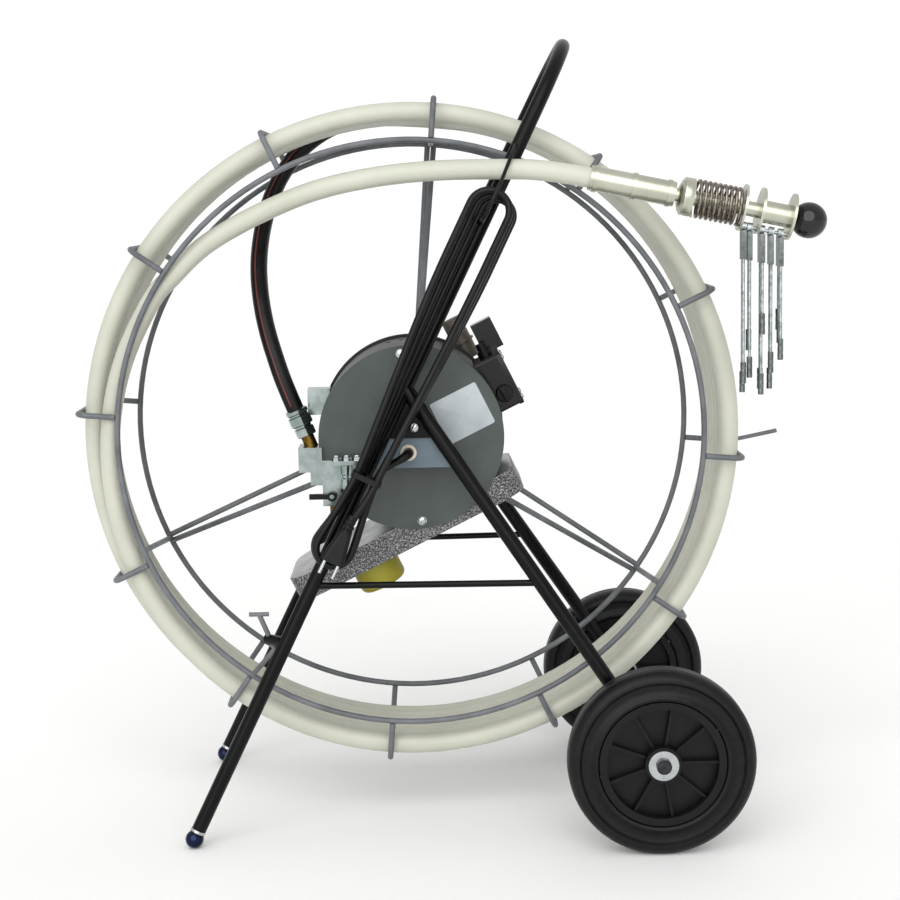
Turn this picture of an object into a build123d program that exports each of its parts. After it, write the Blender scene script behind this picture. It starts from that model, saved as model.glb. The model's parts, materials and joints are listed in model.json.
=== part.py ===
from build123d import *

import os
from math import cos, pi, radians, sin, sqrt, tan

# Drain cleaning machine: a wire-cage hose reel with its motor inside, on a two-wheeled tube trolley.
# Millimetres, +Z up, +X to the handle side, -Y the side with the cable hank ("near").
# The origin is on the floor under the middle of the part. Points given below as (x, y, z) are counted from
# the middle of the reel's axis; "out" in place of y is counted outward from the near main tube.

# Trolley frame
hub_height = 545
tube_diameter = 20
tube_wall = 2
foot_reach = 306
foot_spread = 382
ball_diameter = 25
ball_shank_length = 34
bow_reach = 171
bow_spread = 234
bow_rise = 430
leg_joint_rise = 72
leg_eye_diameter = 34
leg_eye_width = 20
tie_bar_drop = 191
tie_bar_diameter = 9
weld_gap = 0.1
running_fit = 0.05
cut_overrun = 1
corner_share = 0.45

# Wheels
wheel_diameter = 250
wheel_width = 50
wheel_track = 484
axle_reach = 323
axle_diameter = 20
axle_overhang = 7
axle_chamfer = 1.75
tyre_height = 41
tyre_shoulder = 11
rim_lip = 10
rim_width = 42
web_width = 8
wheel_hub_diameter = 48
wheel_rib_count = 9
wheel_rib_thickness = 4
wheel_rib_depth = 30
washer_diameter = 40
washer_thickness = 2
wheel_play = 0.3

# Corner plates and stub axles
gusset_drop = 5
gusset_depth = 62
gusset_thickness = 5
gusset_inset = 3
plate_thickness = 4
plate_margin = 10
stub_axle_diameter = 25
bolt_head_diameter = 15
bolt_head_height = 7
plate_bolt_rise = 15
plate_bolt_share = 0.61
grommet_gap = 9
grommet_share = 0.45
grommet_diameter = 22
grommet_height = 3

# Cage of the reel
ring_radius = 402
hoop_radius = 458
cage_spread = 198
rod_diameter = 8
hoop_count = 12
hoop_start_angle = 85
hoop_bend_radius = 14
turning_rod_hoop = 9
turning_rod_length = 80
turning_rod_diameter = 6
turning_rod_side = 75
turning_rod_lean = 16
spoke_pair_count = 3
spoke_start_angle = 85
spoke_pair_spread = 1.3
spoke_near_inset = 11
spoke_near_sink = 8
cross_bar_skew = 3

# Drum, motor and what sits on them, tilted as a whole about the reel's axis
hub_tilt = 26
drum_diameter = 254
drum_front = -107
drum_back = 40
drum_wall = 3
bearing_sleeve_diameter = 42
bearing_sleeve_depth = 55
cover_screw_inset = 11
cover_screw_angles = (96, 276)
cover_screw_diameter = 14
cover_screw_height = 4
motor_diameter = 230
motor_flange_margin = 4
motor_flange_width = 9
motor_back = 100
back_plate_margin = 3
back_plate_thickness = 6
back_boss_diameter = 50
back_boss_length = 12
base_length = 350
base_centre = -70
base_top = -103.4
base_thickness = 34
base_back = 88
base_corner = 38
seat_gap = 0.2
cap_diameter = 67
cap_height = 36
cap_rounding = 9
cap_station = -131
cap_side = -55
capacitor_diameter = 30
capacitor_stand_out = 3
capacitor_side = 75
capacitor_bottom = 45
capacitor_top = 108
capacitor_band_height = 70
capacitor_band_width = 3
capacitor_band_diameter = 36
box_stand_out = 26
box_sink = 19
box_bottom = -33
box_top = 44
box_front = -50
box_inset = 4
box_rounding = 4
hood_left = 139
hood_right = 170
hood_height = 46
hood_depth = 30
lid_thickness = 7
lid_margin = 1.5
knob_diameter = 24
knob_height = 11
knob_rounding = 2.2
knob_station = (140, -10)
gland_station = 140
gland_side = -8
gland_diameter = 20
gland_nut_height = 9
gland_neck_diameter = 14
gland_height = 20

# Valve and feed fittings at the left of the drum
valve_stand_out = 11.5
valve_axis_depth = 22
valve_top = -10
valve_size = (32, 46, 34)
valve_tab_thickness = 8
valve_tab_reach = 71.5
valve_tab_drop = 18
valve_foot_width = 25
valve_foot_drop = 81
flange_depth = 17
flange_thickness = 6
flange_width = 42
flange_bolt_count = 3
flange_bolt_spacing = 14
flange_bolt_size = 11
flange_bolt_height = 8
fitting_lean = 22
brass_diameter = 18
brass_length = 14
nipple_diameter = 7
nipple_length = 14
small_nut_size = 26
small_nut_height = 16
large_nut_size = 30
large_nut_height = 24
clamp_width = 31
clamp_height = 36
clamp_rise = 57
clamp_offset = 4.5
clamp_inset = 43
clamp_depth = 30
lever_length = 31
lever_width = 7
lever_thickness = 7
lever_offset = 28.5
lever_drop = 67
lever_pin_diameter = 6

# Drain hose
hose_diameter = 27
coil_lane_gap = 1
coil_clearance = 0.5
coil_leave_angle = 235
coil_entry_angle = 90
stub_angle = 89
stub_lead = 30
stub_drop = 42
stub_drop_power = 1.6
stub_late_drop = 5
stub_late_power = 18
stub_steps = 4
# Points of the two hoses between their ends: x, the share of the way across from end to end, and z
hose_route = [
    (-247, 0.03, 284), (-190, 0.15, 312), (-122, 0.32, 338), (-46, 0.5, 353), (32, 0.72, 360),
    (110, 0.93, 360),
]
hose_first_run = 28
hose_last_run = 57

# Feed hose from the valve to the start of the coil
feed_diameter = 24
feed_route = [
    (-184, 0.056, 108), (-196, 0.16, 145), (-205, 0.305, 183), (-210, 0.465, 222), (-210, 0.62, 256),
    (-205, 0.76, 292), (-195, 0.88, 329), (-177, 0.95, 365), (-154.5, 0.99, 393.5), (-126.5, 1, 416),
    (-94, 1.002, 432),
]
feed_first_run = 36
feed_last_run = 32

# Hose end and spinning head
# Where the sleeve starts: x, out, z
sleeve_start = (243, 27.5, 346)
head_tilt = 12
sleeve_diameter = 33
sleeve_length = 114
crimp_diameter = 36
crimp_width = 5
crimp_stations = (5, 57, 104)
neck_diameter = 18
neck_depth = 22
neck_length = 11
collar_diameter = 50
collar_width = 13
spring_diameter = 52
spring_wire = 4.5
spring_turns = 9
spring_space = 66.5
spring_gap = 0.5
head_shaft_diameter = 20
flange_plate_width = 3
disc_diameter = 62
disc_width = 3.6
core_diameter = 30
ball_end_diameter = 48
ball_end_offset = 26
pin_diameter = 5
pin_depth = 24
front_pin_length = 20.5
back_pin_length = 38.4

# Wire flails: places along the two pins and the length of each wire under its pin
front_flail_places = (4.6, 13.1)
back_flail_places = (5.4, 17.9, 30.4)
flail_wires = ((208, 221), (199, 163), (138, 219, 212), (187, 209), (167, 145, 128))
flail_width = 7
flail_eye_diameter = 13
flail_wire_diameter = 4
flail_wire_spacing = 7.8
flail_ferrule_thickness = 6
flail_ferrule_drop = 5
flail_ferrule_length = 38
flail_tip_diameter = 7.2
flail_tip_length = 28

# Lock hook on the near main tube
hook_rod_diameter = 7
hook_bar_diameter = 6
hook_bar_length = 27
# The hook's bar and bend as x, out, z, and its tip as x, z
hook_bar_place = (-212, -18, -232)
hook_corner = (-192, -21.8, -281)
hook_tip = (-227, -326)
hook_lug_diameter = 14
hook_lug_share = 0.72

# Mains cable, hank, plug and strap
cable_diameter = 10
# Points of the hank, the lead and the strap as x, out, z
hank_bottom = (-106, 17.4, -135)
hank_top = (118, 16.5, 317)
hank_half_width = 14
hank_bottom_half_width = 26
hank_top_half_width = 30
hank_top_drop = 16
hank_waist_rise = 120
hank_flare_rise = 355
hank_step = 11.4
hank_loops = 3
hank_start = 86
hank_end = 28
plug_side = 5
plug_lift = 4
lead_route = [(-30, 17.2, -29)]
lead_first_run = 24
lead_last_run = 33
tie_station = 99
tie_width = 7
tie_thickness = 1.6
tie_clearance = 0.4
plug_length = 44
plug_width = 34
plug_depth = 17
plug_top_width = 17
plug_top_depth = 13.6
plug_rounding = 6
plug_pin_diameter = 4.8
plug_pin_length = 19
plug_pin_spacing = 19
strap_diameter = 5
strap_route = [
    (147, 13, 391), (143, 29.5, 384), (134, 45.8, 363), (124, 61.2, 341), (113, 66.5, 319), (104, 57.9, 299),
    (99, 32.3, 291), (98, 10.4, 289),
]

# Derived sizes
tube_radius = tube_diameter / 2
rod_radius = rod_diameter / 2
wheel_radius = wheel_diameter / 2
ball_radius = ball_diameter / 2
cage_side = cage_spread / 2
hoop_step = 360 / hoop_count
wheel_inner_face = wheel_track / 2 - wheel_width / 2
wheel_outer_face = wheel_track / 2 + wheel_width / 2
leg_eye_centre = wheel_inner_face - wheel_play - washer_thickness - leg_eye_width / 2
axle_level = wheel_radius - hub_height
foot_level = ball_radius - hub_height
gusset_top = leg_joint_rise - gusset_drop
gusset_bottom = gusset_top - gusset_depth
plate_bolt_level = gusset_bottom + plate_bolt_rise
grommet_level = gusset_bottom - grommet_gap - grommet_diameter / 2
plate_top = max(plate_bolt_level, stub_axle_diameter / 2) + plate_margin
plate_bottom = min(grommet_level - grommet_diameter / 2, -stub_axle_diameter / 2) - plate_margin
drum_radius = drum_diameter / 2
motor_flange_diameter = drum_diameter + 2 * motor_flange_margin
back_plate_diameter = motor_diameter + 2 * back_plate_margin
base_front = drum_front + drum_wall + cut_overrun
capacitor_station = motor_diameter / 2 + capacitor_stand_out
box_outer = drum_radius + box_stand_out
box_inner = drum_radius - box_sink
box_back = drum_back - box_inset
valve_axis_x = -drum_radius - valve_stand_out
coil_pitch = hose_diameter + coil_lane_gap
coil_near_lane = -(cage_side - rod_radius - coil_lane_gap - hose_diameter / 2)
coil_part_turn = (coil_entry_angle - coil_leave_angle) % 360
coil_full_turns = int((-2 * coil_near_lane) / coil_pitch - coil_part_turn / 360)
coil_turned_angle = 360 * coil_full_turns + coil_part_turn
collar_station = sleeve_length + neck_length
flange_plate_station = collar_station + collar_width + spring_space
disc_one = flange_plate_station + flange_plate_width + front_pin_length
disc_two = disc_one + disc_width + back_pin_length
ball_end_station = disc_two + ball_end_offset
coil_radius = hoop_radius - rod_radius - coil_clearance - hose_diameter / 2
base_bottom = base_top - base_thickness
cage_left_angle = hoop_start_angle + 3 * hoop_step
cage_reach = -hoop_radius * cos(radians(cage_left_angle)) + rod_radius
head_reach = sleeve_start[0] + cos(radians(head_tilt)) * ball_end_station + ball_end_diameter / 2
hub_x = (cage_reach - head_reach) / 2

sides = (("near", -1), ("far", 1))
up = Vector(0, 0, 1)
away = Vector(0, 1, 0)
tilt_right = Vector(cos(radians(hub_tilt)), 0, sin(radians(hub_tilt)))
tilt_up = Vector(-sin(radians(hub_tilt)), 0, cos(radians(hub_tilt)))
head_forward = Vector(cos(radians(head_tilt)), 0, -sin(radians(head_tilt)))
head_down = Vector(-sin(radians(head_tilt)), 0, -cos(radians(head_tilt)))
fitting_up = Vector(-sin(radians(fitting_lean)), 0, cos(radians(fitting_lean)))


def place(x, y, z):
    """A point counted from the middle of the reel's axis."""
    return Vector(hub_x + x, y, hub_height + z)


def tube_side(rise):
    """How far a main tube's centre line is from the middle plane at a height above the reel's axis."""
    share = (bow_rise - rise) / (bow_rise - foot_level)
    return (bow_spread + (foot_spread - bow_spread) * share) / 2


def outside(x, out, rise):
    """A point counted outward from the near main tube's centre line."""
    return place(x, -tube_side(rise) - out, rise)


def across(route, start, end):
    """The points of a hose's route, between its two ends."""
    return [place(x, start.Y + (end.Y - start.Y) * share, rise) for x, share, rise in route]


def around(radius, angle, y):
    """A point at a radius and an angle round the reel's axis."""
    return place(radius * cos(radians(angle)), y, radius * sin(radians(angle)))


def tilted(right, rise, y):
    """A point in the tilted axes of the drum and motor."""
    return place(0, y, 0) + tilt_right * right + tilt_up * rise


def head_at(station, drop=0):
    """A point on the head's axis, or below it."""
    return outside(*sleeve_start) + head_forward * station + head_down * drop


def main_line(sign):
    """The two ends of a main tube's centre line."""
    foot = place(-foot_reach, sign * foot_spread / 2, foot_level)
    top = place(bow_reach, sign * bow_spread / 2, bow_rise)
    return foot, top


def at_height(line, rise):
    """The point of a line at a height above the reel's axis."""
    start, end = line
    return start + (end - start) * ((hub_height + rise - start.Z) / (end.Z - start.Z))


def leg_line(sign):
    """The two ends of a rear leg's centre line."""
    return at_height(main_line(sign), leg_joint_rise), place(axle_reach, sign * leg_eye_centre, axle_level)


def rod(start, end, diameter, mode=Mode.ADD):
    """Add or cut a round bar between two points."""
    run = Vector(end) - Vector(start)
    with Locations(Plane(origin=start, z_dir=run)):
        Cylinder(diameter / 2, run.length, align=(Align.CENTER, Align.CENTER, Align.MIN), mode=mode)


def crossbar(x, z, first_y, last_y, diameter, mode=Mode.ADD):
    """Add or cut a round bar along Y."""
    rod(place(x, first_y, z), place(x, last_y, z), diameter, mode)


def block(x_range, y_range, z_range, mode=Mode.ADD):
    """Add or cut a box between pairs of limits."""
    spans = (x_range, y_range, z_range)
    with Locations(place(*[(low + high) / 2 for low, high in spans])):
        Box(*[high - low for low, high in spans], mode=mode)


def tilted_block(right_range, rise_range, y_range, mode=Mode.ADD):
    """Add or cut a box in the tilted axes of the drum."""
    spans = (right_range, rise_range, y_range)
    middle = tilted(*[(low + high) / 2 for low, high in spans])
    length, height, depth = [high - low for low, high in spans]
    with Locations(Plane(origin=middle, x_dir=tilt_right, z_dir=tilt_up)):
        Box(length, depth, height, mode=mode)


def cut_main_tube(sign):
    """Cut away the space of a main tube."""
    rod(*main_line(sign), tube_diameter + 2 * weld_gap, Mode.SUBTRACT)


def cut_rear_leg(sign):
    """Cut away the space of a rear leg."""
    rod(*leg_line(sign), tube_diameter + 2 * weld_gap, Mode.SUBTRACT)


def corner_plate(sign, side, thickness, top, bottom):
    """Add a plate that fills the corner between a main tube and a rear leg."""
    corners = [
        at_height(main_line(sign), top),
        at_height(main_line(sign), bottom),
        at_height(leg_line(sign), bottom),
        at_height(leg_line(sign), top),
    ]
    with BuildSketch(Plane.XZ.offset(-sign * side)) as outline:
        Polygon(*[(corner.X, corner.Z) for corner in corners], align=None)
    extrude(outline.sketch, amount=thickness / 2, both=True)
    cut_main_tube(sign)
    cut_rear_leg(sign)


def between_tubes(sign, rise, share):
    """A point's x, counted from the reel's axis, between a main tube and its rear leg."""
    start = at_height(main_line(sign), rise).X
    end = at_height(leg_line(sign), rise).X
    return start + (end - start) * share - hub_x


def cut_drum():
    """Cut away the space of the cover drum."""
    crossbar(0, 0, drum_front, drum_back, drum_diameter + 2 * weld_gap, Mode.SUBTRACT)


def cut_ring(sign):
    """Cut away the space of a cage ring."""
    with Locations(Plane(origin=place(0, sign * cage_side, 0), z_dir=away)):
        Torus(ring_radius, rod_radius + weld_gap, mode=Mode.SUBTRACT)


def middle_of_biarc(start, start_way, end, end_way):
    """The point where the two arcs of a biarc meet."""
    span = end - start
    bend = 1 - start_way.dot(end_way)
    pull = span.dot(start_way + end_way)
    if bend < 1e-9:
        reach = span.dot(span) / (4 * span.dot(start_way))
    else:
        reach = (sqrt(pull * pull + 2 * bend * span.dot(span)) - pull) / (2 * bend)
    return (start + end + (start_way - end_way) * reach) * 0.5


def winding_edges(stations):
    """Lines and pairs of arcs through points with directions."""
    edges = []
    for (start, start_way), (end, end_way) in zip(stations, stations[1:]):
        span = (end - start).normalized()
        if span.dot(start_way) > 1 - 1e-9 and span.dot(end_way) > 1 - 1e-9:
            edges.append(Line(start, end, mode=Mode.PRIVATE))
            continue
        middle = middle_of_biarc(start, start_way, end, end_way)
        first = TangentArc(start, middle, tangent=start_way, mode=Mode.PRIVATE)
        edges.append(first)
        edges.append(TangentArc(middle, end, tangent=first % 1, mode=Mode.PRIVATE))
    return edges


def print_self_gap(name, edges, diameter):
    """Print the least gap between stretches of a winding that don't follow each other."""
    gaps = []
    for first in range(len(edges)):
        for second in range(first + 2, len(edges)):
            gaps.append(edges[first].distance_to(edges[second]) - diameter)
    print(f"{name}: least gap to itself {min(gaps):.2f} mm")


def corner_radii(points):
    """The largest arcs that the runs of a route leave room for."""
    radii = []
    for before, corner, after in zip(points, points[1:], points[2:]):
        come = corner - before
        leave = after - corner
        turn = radians(come.get_angle(leave))
        radii.append(corner_share * min(come.length, leave.length) / tan(turn / 2))
    return radii


def report_route(name, points, radii, part, diameter):
    """Print a cord's bend radii and compare its volume with section times length."""
    path = FilletPolyline(*points, radius=radii, mode=Mode.PRIVATE)
    expected = pi * diameter ** 2 / 4 * path.length
    print(f"{name}: length {path.length:.0f} mm, radii {[round(radius) for radius in radii]}")
    print(f"{name}: volume over section times length {part.volume / expected:.4f}")


def save(part, name):
    """Label a finished piece and write it."""
    part.label = name
    export_step(part, f"parts/{name}.step")


os.makedirs("parts", exist_ok=True)

# Main tubes, with the lug for the lock hook on the near one
hook_stem_top = outside(*hook_bar_place)
hook_stem_end = outside(*hook_corner)
hook_lug_end = hook_stem_top + (hook_stem_end - hook_stem_top) * hook_lug_share
for side, sign in sides:
    with BuildPart() as main_tube:
        rod(*main_line(sign), tube_diameter)
        rod(*main_line(sign), tube_diameter - 2 * tube_wall, Mode.SUBTRACT)
        with Locations(main_line(sign)[0]):
            Sphere(ball_radius + weld_gap, mode=Mode.SUBTRACT)
        if sign < 0:
            lug_root = at_height(main_line(sign), hook_lug_end.Z - hub_height)
            lug_way = (hook_lug_end - lug_root).normalized()
            rod(
                lug_root + lug_way * (tube_radius - tube_wall),
                hook_lug_end + lug_way * hook_lug_diameter / 2,
                hook_lug_diameter,
            )
            rod(hook_stem_top, hook_stem_end, hook_rod_diameter + 2 * running_fit, Mode.SUBTRACT)
    save(main_tube.part, f"main_tube_{side}")

# Ball feet, each with a shank in its tube
with BuildPart() as ball_feet:
    for side, sign in sides:
        foot, top = main_line(sign)
        with Locations(foot):
            Sphere(ball_radius)
        shank_top = foot + (top - foot).normalized() * ball_shank_length
        rod(foot, shank_top, tube_diameter - 2 * tube_wall - weld_gap)
save(ball_feet.part, "ball_feet")

# Handle bow: one arc tangent to both main tubes
near_foot, near_top = main_line(-1)
near_way = (near_top - near_foot).normalized()
bow_forward = Vector(near_way.X, 0, near_way.Z).normalized()
bow_radius = bow_spread / 2 / near_way.dot(bow_forward)
bow_top = Vector(near_top.X, 0, near_top.Z) + bow_forward * bow_radius * (1 - near_way.Y)
with BuildPart() as handle_bow:
    with BuildLine() as bow_path:
        ThreePointArc(near_top, bow_top, main_line(1)[1])
    with BuildSketch(Plane(origin=near_top, z_dir=near_way)):
        Circle(tube_radius)
        Circle(tube_radius - tube_wall, mode=Mode.SUBTRACT)
    sweep()
save(handle_bow.part, "handle_bow")

# Rear legs with the eyes for the wheel axle
for side, sign in sides:
    joint, eye = leg_line(sign)
    eye_half = Vector(0, leg_eye_width / 2, 0)
    leg_way = (eye - joint).normalized()
    with BuildPart() as rear_leg:
        rod(joint, eye, tube_diameter)
        rod(eye - eye_half, eye + eye_half, leg_eye_diameter)
        rod(joint, eye - leg_way * leg_eye_diameter / 2, tube_diameter - 2 * tube_wall, Mode.SUBTRACT)
        rod(eye - eye_half * 2, eye + eye_half * 2, axle_diameter + 2 * weld_gap, Mode.SUBTRACT)
        cut_main_tube(sign)
    save(rear_leg.part, f"rear_leg_{side}")

# Tie bars
with BuildPart() as tie_bars:
    for side, sign in sides:
        tie_start = at_height(main_line(sign), -tie_bar_drop)
        tie_end = at_height(leg_line(sign), -tie_bar_drop)
        rod(tie_start, tie_end, tie_bar_diameter)
    for side, sign in sides:
        cut_main_tube(sign)
        cut_rear_leg(sign)
save(tie_bars.part, "tie_bars")

# Gussets in the corners under the leg joints
gusset_centre = tube_side(0) - gusset_inset
gusset_front = gusset_centre + gusset_thickness / 2
gusset_back = gusset_centre - gusset_thickness / 2
with BuildPart() as gussets:
    for side, sign in sides:
        corner_plate(sign, gusset_centre, gusset_thickness, gusset_top, gusset_bottom)
save(gussets.part, "gussets")

# Axle plates behind the gussets
plate_back = gusset_back - plate_thickness
with BuildPart() as axle_plates:
    for side, sign in sides:
        corner_plate(sign, gusset_back - plate_thickness / 2, plate_thickness, plate_top, plate_bottom)
save(axle_plates.part, "axle_plates")

# Bolts through the gussets and plates
with BuildPart() as plate_bolts:
    for side, sign in sides:
        bolt_x = between_tubes(sign, plate_bolt_level, plate_bolt_share)
        bolt_front = sign * (gusset_front + bolt_head_height)
        crossbar(bolt_x, plate_bolt_level, sign * gusset_front, bolt_front, bolt_head_diameter)
save(plate_bolts.part, "plate_bolts")

# Cable grommet on the near plate
grommet_x = between_tubes(-1, grommet_level, grommet_share)
grommet_front = -gusset_back - grommet_height
with BuildPart() as cable_grommet:
    crossbar(grommet_x, grommet_level, -gusset_back, grommet_front, grommet_diameter)
save(cable_grommet.part, "cable_grommet")

# Stub axles that carry the reel
with BuildPart() as stub_axles:
    crossbar(0, 0, -plate_back, drum_front + bearing_sleeve_depth, stub_axle_diameter)
    crossbar(0, 0, plate_back, motor_back + cut_overrun, stub_axle_diameter)
save(stub_axles.part, "stub_axles")

# Wheel axle
with BuildPart() as wheel_axle:
    axle_end = wheel_outer_face + wheel_play + washer_thickness + axle_overhang
    crossbar(axle_reach, axle_level, -axle_end, axle_end, axle_diameter)
    chamfer(wheel_axle.edges().filter_by(GeomType.CIRCLE), axle_chamfer)
save(wheel_axle.part, "wheel_axle")

# Washers on both faces of each wheel
with BuildPart() as wheel_washers:
    for side, sign in sides:
        for start in (wheel_inner_face - wheel_play - washer_thickness, wheel_outer_face + wheel_play):
            crossbar(axle_reach, axle_level, sign * start, sign * (start + washer_thickness), washer_diameter)
    crossbar(axle_reach, axle_level, -axle_end, axle_end, axle_diameter + 2 * weld_gap, Mode.SUBTRACT)
save(wheel_washers.part, "wheel_washers")

# Wheels: a rubber tyre on a ribbed plastic disc
rim_radius = wheel_radius - tyre_height
for side, sign in sides:
    wheel_centre = place(axle_reach, sign * wheel_track / 2, axle_level)
    wheel_axis = Axis(wheel_centre, away)
    profile_plane = Plane(origin=wheel_centre, x_dir=away, z_dir=(1, 0, 0))
    with BuildPart() as tyre:
        with BuildSketch(profile_plane):
            with Locations((0, rim_radius + tyre_height / 2)):
                Rectangle(wheel_width, tyre_height)
            fillet(vertices().group_by(Axis.Y)[-1], tyre_shoulder)
        revolve(axis=wheel_axis)
    save(tyre.part, f"tyre_{side}")
    with BuildPart() as wheel_disc:
        with BuildSketch(profile_plane):
            with Locations((0, wheel_hub_diameter / 4)):
                Rectangle(wheel_width, wheel_hub_diameter / 2)
            with Locations((0, rim_radius / 2)):
                Rectangle(web_width, rim_radius - rim_lip)
            with Locations((0, rim_radius - weld_gap - rim_lip / 2)):
                Rectangle(rim_width, rim_lip)
        revolve(axis=wheel_axis)
        rib_length = rim_radius - rim_lip / 2 - wheel_hub_diameter / 2
        for rib in range(wheel_rib_count):
            angle = 360 / wheel_rib_count * rib
            rib_way = Vector(cos(radians(angle)), 0, sin(radians(angle)))
            with Locations(Plane(origin=wheel_centre, x_dir=rib_way, z_dir=away)):
                with Locations((wheel_hub_diameter / 2 + rib_length / 2, 0, 0)):
                    Box(rib_length, wheel_rib_thickness, wheel_rib_depth)
        bore_half = Vector(0, wheel_width, 0)
        rod(
            wheel_centre - bore_half,
            wheel_centre + bore_half,
            axle_diameter + 2 * running_fit,
            Mode.SUBTRACT,
        )
    save(wheel_disc.part, f"wheel_disc_{side}")

# Cage rings
for side, sign in sides:
    with BuildPart() as cage_ring:
        with Locations(Plane(origin=place(0, sign * cage_side, 0), z_dir=away)):
            Torus(ring_radius, rod_radius)
    save(cage_ring.part, f"ring_{side}")

# Hoops round the coil, one of them with the turning rod
with BuildPart() as hoops:
    for number in range(hoop_count):
        angle = hoop_start_angle + number * hoop_step
        leg_root = ring_radius + rod_radius + weld_gap
        corners = [
            around(leg_root, angle, -cage_side),
            around(hoop_radius, angle, -cage_side),
            around(hoop_radius, angle, cage_side),
            around(leg_root, angle, cage_side),
        ]
        with BuildLine() as hoop_path:
            FilletPolyline(*corners, radius=hoop_bend_radius)
        with BuildSketch(Plane(origin=corners[0], z_dir=corners[1] - corners[0])):
            Circle(rod_radius)
        sweep()
        if number == turning_rod_hoop:
            rod_root = around(hoop_radius, angle, turning_rod_side)
            rod_angle = radians(angle + turning_rod_lean)
            rod_way = Vector(cos(rod_angle), 0, sin(rod_angle))
            rod(rod_root, rod_root + rod_way * turning_rod_length, turning_rod_diameter)
save(hoops.part, "hoops")

# Cross bars between the rings, with their near ends turned a little to the side that they are on
spoke_angles = [spoke_start_angle + number * 360 / spoke_pair_count for number in range(spoke_pair_count)]
cross_bar_lines = []
for number, angle in enumerate(spoke_angles):
    near_angle = angle + cross_bar_skew * (0, -1, 1)[number % 3]
    near_end = around(ring_radius, near_angle, -cage_side)
    cross_bar_lines.append((near_end, around(ring_radius, angle, cage_side)))
with BuildPart() as cross_bars:
    for start, end in cross_bar_lines:
        rod(start, end, rod_diameter)
    for side, sign in sides:
        cut_ring(sign)
save(cross_bars.part, "cross_bars")

# Spokes in pairs from the far ring: the upper one to the back plate, the lower one to the drum's wall
back_plate_front = motor_back + weld_gap
back_plate_middle = back_plate_front + back_plate_thickness / 2
near_spoke_root = drum_radius - spoke_near_sink
near_spoke_side = drum_front + spoke_near_inset
with BuildPart() as spokes:
    for angle in spoke_angles:
        lower = spoke_pair_spread / 2 if cos(radians(angle)) < 0 else -spoke_pair_spread / 2
        near_root = around(near_spoke_root, angle + lower, near_spoke_side)
        rod(near_root, around(ring_radius, angle + lower, cage_side), rod_diameter)
        far_root = around(0, angle - lower, back_plate_middle)
        rod(far_root, around(ring_radius, angle - lower, cage_side), rod_diameter)
    cut_drum()
    crossbar(0, 0, drum_back, cage_side + cage_spread, back_plate_diameter + 2 * weld_gap, Mode.SUBTRACT)
    tilted_block(
        (base_centre - base_length / 2 - weld_gap, base_centre + base_length / 2 + weld_gap),
        (base_bottom - weld_gap, base_top),
        (base_front - weld_gap, base_back + weld_gap),
        Mode.SUBTRACT,
    )
    cut_ring(1)
    for start, end in cross_bar_lines:
        rod(start, end, rod_diameter + 2 * weld_gap, Mode.SUBTRACT)
save(spokes.part, "spokes")

# Cover drum with the bearing sleeve for the near stub axle
sleeve_back = drum_front + bearing_sleeve_depth
with BuildPart() as cover_drum:
    crossbar(0, 0, drum_front, drum_back, drum_diameter)
    drum_inside = (drum_front + drum_wall, drum_back + cut_overrun)
    crossbar(0, 0, *drum_inside, drum_diameter - 2 * drum_wall, Mode.SUBTRACT)
    crossbar(0, 0, drum_front, sleeve_back, bearing_sleeve_diameter)
    bore = stub_axle_diameter + 2 * running_fit
    crossbar(0, 0, drum_front - cut_overrun, sleeve_back + cut_overrun, bore, Mode.SUBTRACT)
    tilted_block(
        (-drum_radius, drum_radius),
        (-drum_diameter, base_top + seat_gap),
        drum_inside,
        Mode.SUBTRACT,
    )
save(cover_drum.part, "cover_drum")

# Screws on the drum's face
with BuildPart() as cover_screws:
    for angle in cover_screw_angles:
        seat = around(drum_radius - cover_screw_inset, angle, drum_front)
        rod(seat, seat - away * cover_screw_height, cover_screw_diameter)
save(cover_screws.part, "cover_screws")

# Motor behind the drum
motor_front = drum_back + seat_gap
with BuildPart() as motor:
    crossbar(0, 0, motor_front, motor_back, motor_diameter)
    crossbar(0, 0, motor_front, motor_front + motor_flange_width, motor_flange_diameter)
    tilted_block(
        (-motor_flange_diameter, motor_flange_diameter),
        (-motor_flange_diameter, base_top + seat_gap),
        (drum_back, motor_back + cut_overrun),
        Mode.SUBTRACT,
    )
save(motor.part, "motor")

# Back plate with the boss for the far stub axle
back_plate_back = back_plate_front + back_plate_thickness
with BuildPart() as back_plate:
    crossbar(0, 0, back_plate_front, back_plate_back, back_plate_diameter)
    boss_back = back_plate_back + back_boss_length
    crossbar(0, 0, back_plate_back, boss_back, back_boss_diameter)
    crossbar(0, 0, back_plate_front - cut_overrun, boss_back + cut_overrun, bore, Mode.SUBTRACT)
save(back_plate.part, "back_plate")

# Motor base: a thick casting with rounded corners
base_middle_side = (base_front + base_back) / 2
with BuildPart() as motor_base:
    base_foot = tilted(base_centre, base_bottom, base_middle_side)
    with BuildSketch(Plane(origin=base_foot, x_dir=tilt_right, z_dir=tilt_up)):
        RectangleRounded(base_length, base_back - base_front, base_corner)
    extrude(amount=base_thickness)
save(motor_base.part, "motor_base")

# Yellow cap under the base
with BuildPart() as yellow_cap:
    cap_seat = tilted(cap_station, base_bottom, cap_side)
    rod(cap_seat, cap_seat - tilt_up * cap_height, cap_diameter)
    cap_edges = yellow_cap.edges().filter_by(GeomType.CIRCLE).sort_by(Axis(cap_seat, tilt_up))
    fillet(cap_edges[0], cap_rounding)
save(yellow_cap.part, "yellow_cap")

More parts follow.
